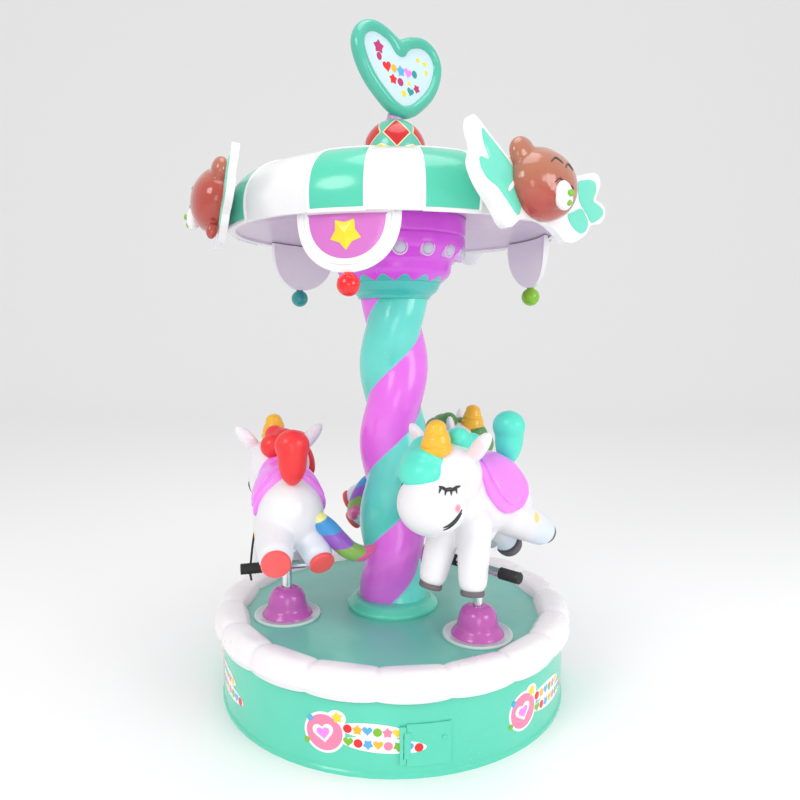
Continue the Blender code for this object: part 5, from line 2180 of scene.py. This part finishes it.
@dataclass
class Unicorns:
    """The three riders with their saddles, hair, rods and bells, built about one rod."""

    voxel: float = 0.0048
    belly: tuple[Ball, ...] = (
        ((-0.025, 0.0, 0.638), (0.175, 0.09, 0.112)),
        ((-0.095, 0.0, 0.622), (0.1, 0.1, 0.108)),
        ((0.09, 0.0, 0.67), (0.085, 0.074, 0.1)),
    )
    head: tuple[Ball, ...] = (
        ((0.155, 0.0, 0.728), (0.098, 0.1, 0.094)),
        ((0.218, 0.0, 0.66), (0.092, 0.098, 0.09)),
    )
    fore_legs: tuple[Leg, ...] = (
        ((0.08, 0.042, 0.59), (0.108, 0.06, 0.432), 0.052, 0.041),
        ((0.095, -0.042, 0.59), (0.14, -0.056, 0.432), 0.052, 0.041),
    )
    hind_legs: tuple[Leg, ...] = (
        ((-0.085, 0.048, 0.58), (-0.238, 0.056, 0.506), 0.064, 0.05),
        ((-0.08, -0.045, 0.57), (-0.198, -0.05, 0.468), 0.058, 0.045),
    )
    kicked_legs: tuple[Leg, ...] = (
        ((-0.085, 0.048, 0.585), (-0.244, 0.064, 0.544), 0.064, 0.05),
        ((-0.08, -0.045, 0.575), (-0.176, -0.066, 0.518), 0.058, 0.045),
    )
    eye: Place = (0.235, 0.075, 0.717)
    blush: Place = (0.225, 0.09, 0.665)
    spot: Place = (-0.142, 0.11, 0.572)
    horn_at: Place = (0.212, 0.01, 0.816)
    horn_foot: float = 0.034
    cup: Place = (-0.014, 0.0, 0.722)
    cup_size: Flat = (0.092, 0.12)
    cup_tilt: float = 14.0
    tail_r: float = 0.026
    tail_path: tuple[tuple[float, float, float, float], ...] = (
        (-0.13, -0.048, 0.63, 0.85), (-0.148, -0.074, 0.612, 0.95), (-0.166, -0.1, 0.588, 1.1),
        (-0.18, -0.126, 0.556, 1.15), (-0.186, -0.16, 0.524, 1.08), (-0.18, -0.2, 0.508, 0.92),
        (-0.166, -0.238, 0.516, 0.5),
    )

    def build(self, frame: dict) -> None:
        """Builds each part once and sets a copy at each station.

        Args:
            frame: The loaded frame.
        """
        hides = [self.hide(self.kicked_legs), self.hide(self.hind_legs)]
        skin = BVHTree.FromBMesh(from_mesh(hides[1]))
        horn, lines = self.horn(), self.lines(skin)
        hairs, saddle, panel = [self.hair(1.0), self.hair(-1.0)], self.saddle(0.0), self.saddle(0.007)
        backrest, tail = self.backrest(), self.tail()
        bell, dish = self.bell()
        sleeves, straps = self.sleeves(), self.strap()
        for i, (station, lift) in enumerate(zip(STATIONS, LIFTS)):
            seat = at_station(station, SADDLE_R, lift, 180.0)
            ground = at_station(station, SADDLE_R, 0.0, 180.0)
            coat, tag = COATS[i], f"_{i + 1}"
            hair, pads = hairs[i // 2], self.pads(coat.block, self.hind_legs if i else self.kicked_legs)
            pieces = [
                ("hide", hides[min(i, 1)], HIDE, Slot.WHITE, ["unicorn_body"], SMOOTH),
                ("horn", horn, GOLD, Slot.CORAL, (), SMOOTH),
                ("face_lines", lines, INK, Slot.BROWN, (), SMOOTH),
                ("hair", hair, coat.hair, coat.hair_slot, ["unicorn_mane"], SMOOTH),
                ("saddle", saddle, ORCHID, Slot.ORCHID, ["unicorn_saddle"], SOFT),
                ("saddle_panel", panel, ORCHID, Slot.ORCHID, (), SOFT),
                ("mane", backrest, coat.hair, coat.hair_slot, ["unicorn_backrest"], SMOOTH),
                ("tail", tail, TAIL, Slot.RAINBOW, ["unicorn_tail"], SMOOTH),
                ("sleeves", sleeves, RUBBER, Slot.STEEL, (), CREASE),
            ]
            if coat.strap:
                pieces.append(("strap", straps, RUBBER, Slot.STEEL, (), CREASE))
            pieces.append(("hoof_pads", pads, coat.pads, coat.pad_slot, (), CREASE))
            fit_all(pieces, tag, seat, RIDERS[i])
            fixed = (
                ("bell", bell, BELL, Slot.VIOLET, ["rod_housing"], SOFT),
                ("dish", dish, DISH, Slot.MINT, (), SOFT),
            )
            fit_all(fixed, tag, ground, Part.DECK)
            repaint(frame, "lift_rod" + tag, CHROME, Slot.CHROME)

    def hide(self, hind: Sequence[Leg]) -> Mesh:
        """The white body with its legs and ears, and the paint lines on it, with a painted bluish shade low
        on the hind legs.

        Args:
            hind: Its hind legs.

        Returns:
            The body.
        """
        bm = blobs(self.belly + self.head)
        for start, end, thick, thin in (*hind, *self.fore_legs):
            limb(bm, start, end, thick, thin)
        limb(bm, (0.0, 0.0, 0.56), (0.0, 0.0, 0.545), 0.055, 0.05)
        for side in (-1.0, 1.0):
            blob(bm, (0.15, side * 0.103, 0.814), (0.016, 0.025, 0.062), (-side * 40.0, 0.0))
        mesh = as_mesh(melt(bm, self.voxel, 8))
        # painted shade mask: positive behind x = -0.15 and below z = 0.55, on the lower hind legs
        stamp(mesh, "haunch", lambda p: min(-0.15 - p.x, 0.55 - p.z))
        stamp(mesh, "blush", self.blush_mask)
        stamp(mesh, "spot", lambda p: 0.017 - dist(self.spot, p))
        stamp(mesh, "ear_lining", self.ear_mask)
        return mesh

    def blush_mask(self, p: Vector) -> float:
        """How far inside the cheek's round blush a point lies."""
        x, y, z = self.blush
        return 0.012 - dist((x, y, z), (p.x, abs(p.y), p.z))

    def ear_mask(self, p: Vector) -> float:
        """How far inside the lining of the ears' front a point lies."""
        return min(p.x - 0.159, 0.03 - dist((0.1, 0.816), (abs(p.y), p.z)))

    def horn(self) -> Mesh:
        """The fat golden horn with its spiral groove."""
        rows, tall, wide, thin = 48, 0.05, 0.0435, 0.028
        line = [(0.0, -self.horn_foot), *arc(wide, self.horn_foot, -80.0, -10.0, 7)]
        for i in range(rows + 1):
            share = i / rows
            line.append((wide + (thin - wide) * share**1.25, tall * share))
        line += [*arc(thin, thin * 0.8, 15.0, 75.0, 4, (0.0, tall)), (0.0, tall + thin * 0.8)]
        bm = lathe(line, 64)
        for vert in bm.verts:
            flat = hypot(vert.co.x, vert.co.y)
            if flat > 0.004 and vert.co.z > 0.0:
                phase = atan2(vert.co.y, vert.co.x) - vert.co.z / 0.034 * 2.0 * pi
                groove = 1.0 - 0.075 * (0.5 + 0.5 * cos(phase)) ** 4
                vert.co.x *= groove
                vert.co.y *= groove
        mesh = as_mesh(bm)
        mesh.transform(Matrix.Translation(self.horn_at) @ spin(2.0, "Y"))
        return mesh

    def lines(self, skin: BVHTree) -> Mesh:
        """The closed eyes with their lashes, and the smile."""
        made = []
        for side in (-1.0, 1.0):
            x, y, z = self.eye
            where = on_skin(skin, facing((x, side * y, z), (0.8, side * 0.6, 0.1)), 0.3)
            steps = [k / 8 - 1.0 for k in range(17)]
            arch = [(0.026 * s, 0.009 * s * s - 0.004 + 0.0012 * cos(9.0 * s)) for s in steps]
            thick = [0.0056 * (1.0 - 0.55 * s * s) for s in steps]
            made.append(tube([where(a, b, 0.0006) for a, b in arch], thick, 8))
            for share in (-0.85, -0.35, 0.15, 0.6):
                foot = (0.026 * share, 0.009 * share * share - 0.005)
                tip = (foot[0] + 0.005 * share, foot[1] - 0.013)
                path = [tuple(f + (g - f) * t for f, g in zip(foot, tip)) for t in (0, 0.5, 1)]
                made.append(tube([where(a, b, 0.0006) for a, b in path], [0.004, 0.003, 0.0012], 8))
            ends = (Vector((0.25, side * 0.066, 0.61)), Vector((0.212, side * 0.1, 0.652)))
            middle = (ends[0] + ends[1]) / 2
            low = on_skin(skin, facing(middle, (0.7, side * 0.7, -0.1)), 0.3)
            curve = [k / 6 - 1.0 for k in range(13)]
            for drop, thick_at in ((0.0, 0.004), (0.009, 0.0032)):
                smile = [(side * 0.024 * s, 0.02 * s + 0.007 * s * s - drop) for s in curve]
                sizes = [thick_at * (1.0 - 0.5 * s**2) for s in curve]
                made.append(tube([low(a, b, 0.0004) for a, b in smile], sizes, 8))
        return joined(made)

    def hair(self, side: float) -> Mesh:
        """The melted lumps of the forelock and mane.

        Args:
            side: 1 where they fall to the inner side, -1 where they fall to the outer one.

        Returns:
            The hair.
        """
        rows = (
            ((0.205, -0.03 * side, 0.764), (0.066, 0.08, 0.054)),
            ((0.238, -0.022 * side, 0.748), (0.056, 0.07, 0.048), (0.0, 25.0)),
            ((0.168, -0.058 * side, 0.796), (0.062, 0.046, 0.04)),
            ((0.228, -0.006 * side, 0.79), (0.04, 0.042, 0.028)),
            ((0.128, 0.018 * side, 0.828), (0.034, 0.034, 0.034)),
            ((0.108, -0.004 * side, 0.808), (0.05, 0.056, 0.046)),
            ((0.08, 0.026 * side, 0.8), (0.038, 0.046, 0.042)),
            ((0.186, -0.096 * side, 0.732), (0.042, 0.026, 0.06), (-14.0 * side, 0.0)),
        )
        return as_mesh(melt(blobs(rows), self.voxel, 6))

    def saddle(self, step: float) -> Mesh:
        """The moulded saddle over the back, or its raised inner panel.

        Args:
            step: How far it stands over the outer flap.

        Returns:
            The mesh.
        """
        grow = 0.014 + step
        grown = [(centre, [radius + grow for radius in radii]) for centre, radii in self.belly]
        skin = as_mesh(melt(blobs(grown), self.voxel, 5))
        inset = step * 4.0
        size = Matrix.Diagonal((self.cup_size[0] - inset, self.cup_size[1] - inset, 1.0, 1.0))
        seat = Matrix.Translation(self.cup) @ spin(self.cup_tilt, "Y") @ spin(90.0, "X") @ size
        cut = bmesh.new()
        bmesh.ops.create_cone(
            cut, cap_ends=True, segments=96, radius1=1.0, radius2=1.0, depth=0.4, matrix=seat,
        )
        cutter = bpy.data.objects.new("cutter", as_mesh(cut))
        bpy.context.scene.collection.objects.link(cutter)
        made = applied(skin, "BOOLEAN", object=cutter, operation="INTERSECT", solver="EXACT")
        bpy.data.objects.remove(cutter)
        return as_mesh(melt(from_mesh(made), 0.004, 5))

    def backrest(self) -> Mesh:
        """The padded teardrop behind the seat."""
        rows = (
            ((-0.146, 0.0, 0.8), (0.043, 0.044, 0.084), (0.0, -6.0)),
            ((-0.142, 0.0, 0.836), (0.046, 0.052, 0.048), (0.0, -6.0)),
        )
        return as_mesh(melt(blobs(rows), self.voxel, 6))

    def tail(self) -> Mesh:
        """The swept tail with its twisted colour bands."""
        fine = rounded(self.tail_path, 8)
        path = [point[:3] for point in fine]
        mesh = as_mesh(tube(path, [self.tail_r * point[3] for point in fine], 24))
        reach = len(fine) - 1

        def along(p: Vector) -> float:
            """How far down the tail a point lies, from 0 to 1, with a twist round it."""
            near = min(range(reach + 1), key=lambda k: dist(path[k], p))
            twist = atan2(p.z - path[near][2], p.x - path[near][0])
            return near / reach + 0.05 * sin(2.0 * twist)

        for band in range(1, 5):
            edge = 0.2 * band
            stamp(mesh, f"band_{band}", lambda p, e=edge: (along(p) - e) * 0.3)
        return mesh

    def bell(self) -> tuple[Mesh, Mesh]:
        """The bell over the rod's bearing, and the dish that it stands in."""
        low = 0.2483
        bore = 0.0153
        line = [
            (0.0795, low + 0.0055), (0.0785, low + 0.0085), (0.0755, low + 0.013),
            (0.07, low + 0.02), (0.063, low + 0.03), (0.059, low + 0.05), (0.0555, low + 0.064),
            (0.05, low + 0.077), (0.04, low + 0.087), (0.028, low + 0.0915), (0.018, low + 0.0925),
        ]
        outer = rounded(line, 4)
        bell = as_mesh(lathe([(bore, low + 0.004), *outer, (bore, low + 0.0915)], 96))
        dish = [
            (0.0155, low), (0.104, low), (0.1055, low + 0.0025), (0.105, low + 0.0065),
            (0.102, low + 0.0085), (0.097, low + 0.008), (0.094, low + 0.006), (0.0155, low + 0.0055),
        ]
        return bell, as_mesh(lathe(dish, 128))

    def sleeves(self) -> Mesh:
        """The ribbed rubber sleeves on the two ends of the footrest bar."""
        length, radius, inner, middle, groove = 0.062, 0.0175, 0.0139, 0.0002, 0.0012
        made = []
        for side in (-1.0, 1.0):
            line = [(inner, 0.0)]
            line += [(radius - (groove if i % 2 else 0.0), length * i / 12) for i in range(13)]
            line += [(radius - 0.002, length + 0.003), (middle, length + 0.004), (middle, length + 0.001)]
            sleeve = lathe([*line, (inner, length + 0.001)], 32)
            seat = Matrix.Translation((0.0, side * 0.0793, 0.43)) @ spin(-side * 90.0, "X")
            bmesh.ops.transform(sleeve, matrix=seat, verts=sleeve.verts)
            made.append(sleeve)
        return joined(made)

    def strap(self) -> Mesh:
        """The thin strap from the belly down past the outer footrest."""
        points = [
            (0.005, 0.086, 0.6), (0.006, 0.096, 0.56), (0.006, 0.106, 0.5), (0.004, 0.112, 0.45),
            (0.0, 0.116, 0.425), (-0.004, 0.112, 0.395),
        ]
        fine = rounded(points, 6)
        return as_mesh(tube(fine, [0.0036] * len(fine), 10))

    def pads(self, block: float, hind: Sequence[Leg]) -> Mesh:
        """The round pads under the hooves.

        Args:
            block: How much thicker the inner hind hoof's pad is than the others.
            hind: The hind legs.

        Returns:
            The four pads.
        """
        made = []
        usual = 0.84
        for i, (start, end, _, thin) in enumerate((*hind, *self.fore_legs)):
            along = (Vector(end) - Vector(start)).normalized()
            deep = block if i == 1 else 1.0
            share = (0.7, 0.96, usual, usual)[i] if block > 1.0 else usual
            wide = thin * share
            profile = [
                (0.0, -0.006), (wide * 0.96, -0.006), (wide, 0.0), (wide * 0.99, 0.004 * deep),
                (wide * 0.92, 0.008 * deep), (wide * 0.6, 0.0105 * deep), (0.0, 0.011 * deep),
            ]
            pad = lathe(profile, 48)
            turn = along.to_track_quat("Z", "Y").to_matrix().to_4x4()
            seat = Matrix.Translation(Vector(end) + along * thin * usual) @ turn
            bmesh.ops.transform(pad, matrix=seat, verts=pad.verts)
            made.append(pad)
        return joined(made)


def smooth_nodes(frame: dict) -> None:
    """Shades the CAD nodes that stay smoothly up to a crease angle.

    Args:
        frame: The loaded frame.
    """
    group = bpy.data.node_groups.new("smooth_faces", "GeometryNodeTree")
    group.interface.new_socket("Geometry", in_out="INPUT", socket_type="NodeSocketGeometry")
    group.interface.new_socket("Geometry", in_out="OUTPUT", socket_type="NodeSocketGeometry")
    nodes, links = group.nodes, group.links
    given, made = nodes.new("NodeGroupInput"), nodes.new("NodeGroupOutput")
    faces = nodes.new("GeometryNodeSetShadeSmooth")
    faces.domain = "FACE"
    edges = nodes.new("GeometryNodeSetShadeSmooth")
    edges.domain = "EDGE"
    weld = nodes.new("GeometryNodeMergeByDistance")
    weld.inputs["Distance"].default_value = 0.00002
    bend = nodes.new("GeometryNodeInputMeshEdgeAngle")
    test = nodes.new("FunctionNodeCompare")
    test.operation = "LESS_THAN"
    test.inputs["B"].default_value = radians(35.0)
    links.new(bend.outputs["Unsigned Angle"], test.inputs["A"])
    links.new(test.outputs["Result"], edges.inputs["Shade Smooth"])
    row = (given, weld, faces, edges, made)
    for source, target in zip(row, row[1:]):
        links.new(source.outputs["Geometry"], target.inputs["Geometry"])
    for node in frame["nodes"].values():
        step = node.modifiers.new("smooth", "NODES")
        step.node_group = group


def main() -> None:
    """Builds the studio and dresses every sub-assembly."""
    logging.basicConfig(level=logging.INFO, format="%(name)s: %(message)s")
    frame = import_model()
    Studio().build()
    smooth_nodes(frame)
    Base().build(frame)
    Deck().build(frame)
    Column().build(frame)
    Collar().build()
    Canopy().build(frame)
    Scallops().build()
    Bears().build()
    Finial().build(frame)
    Unicorns().build(frame)


if __name__ == "__main__":
    main()
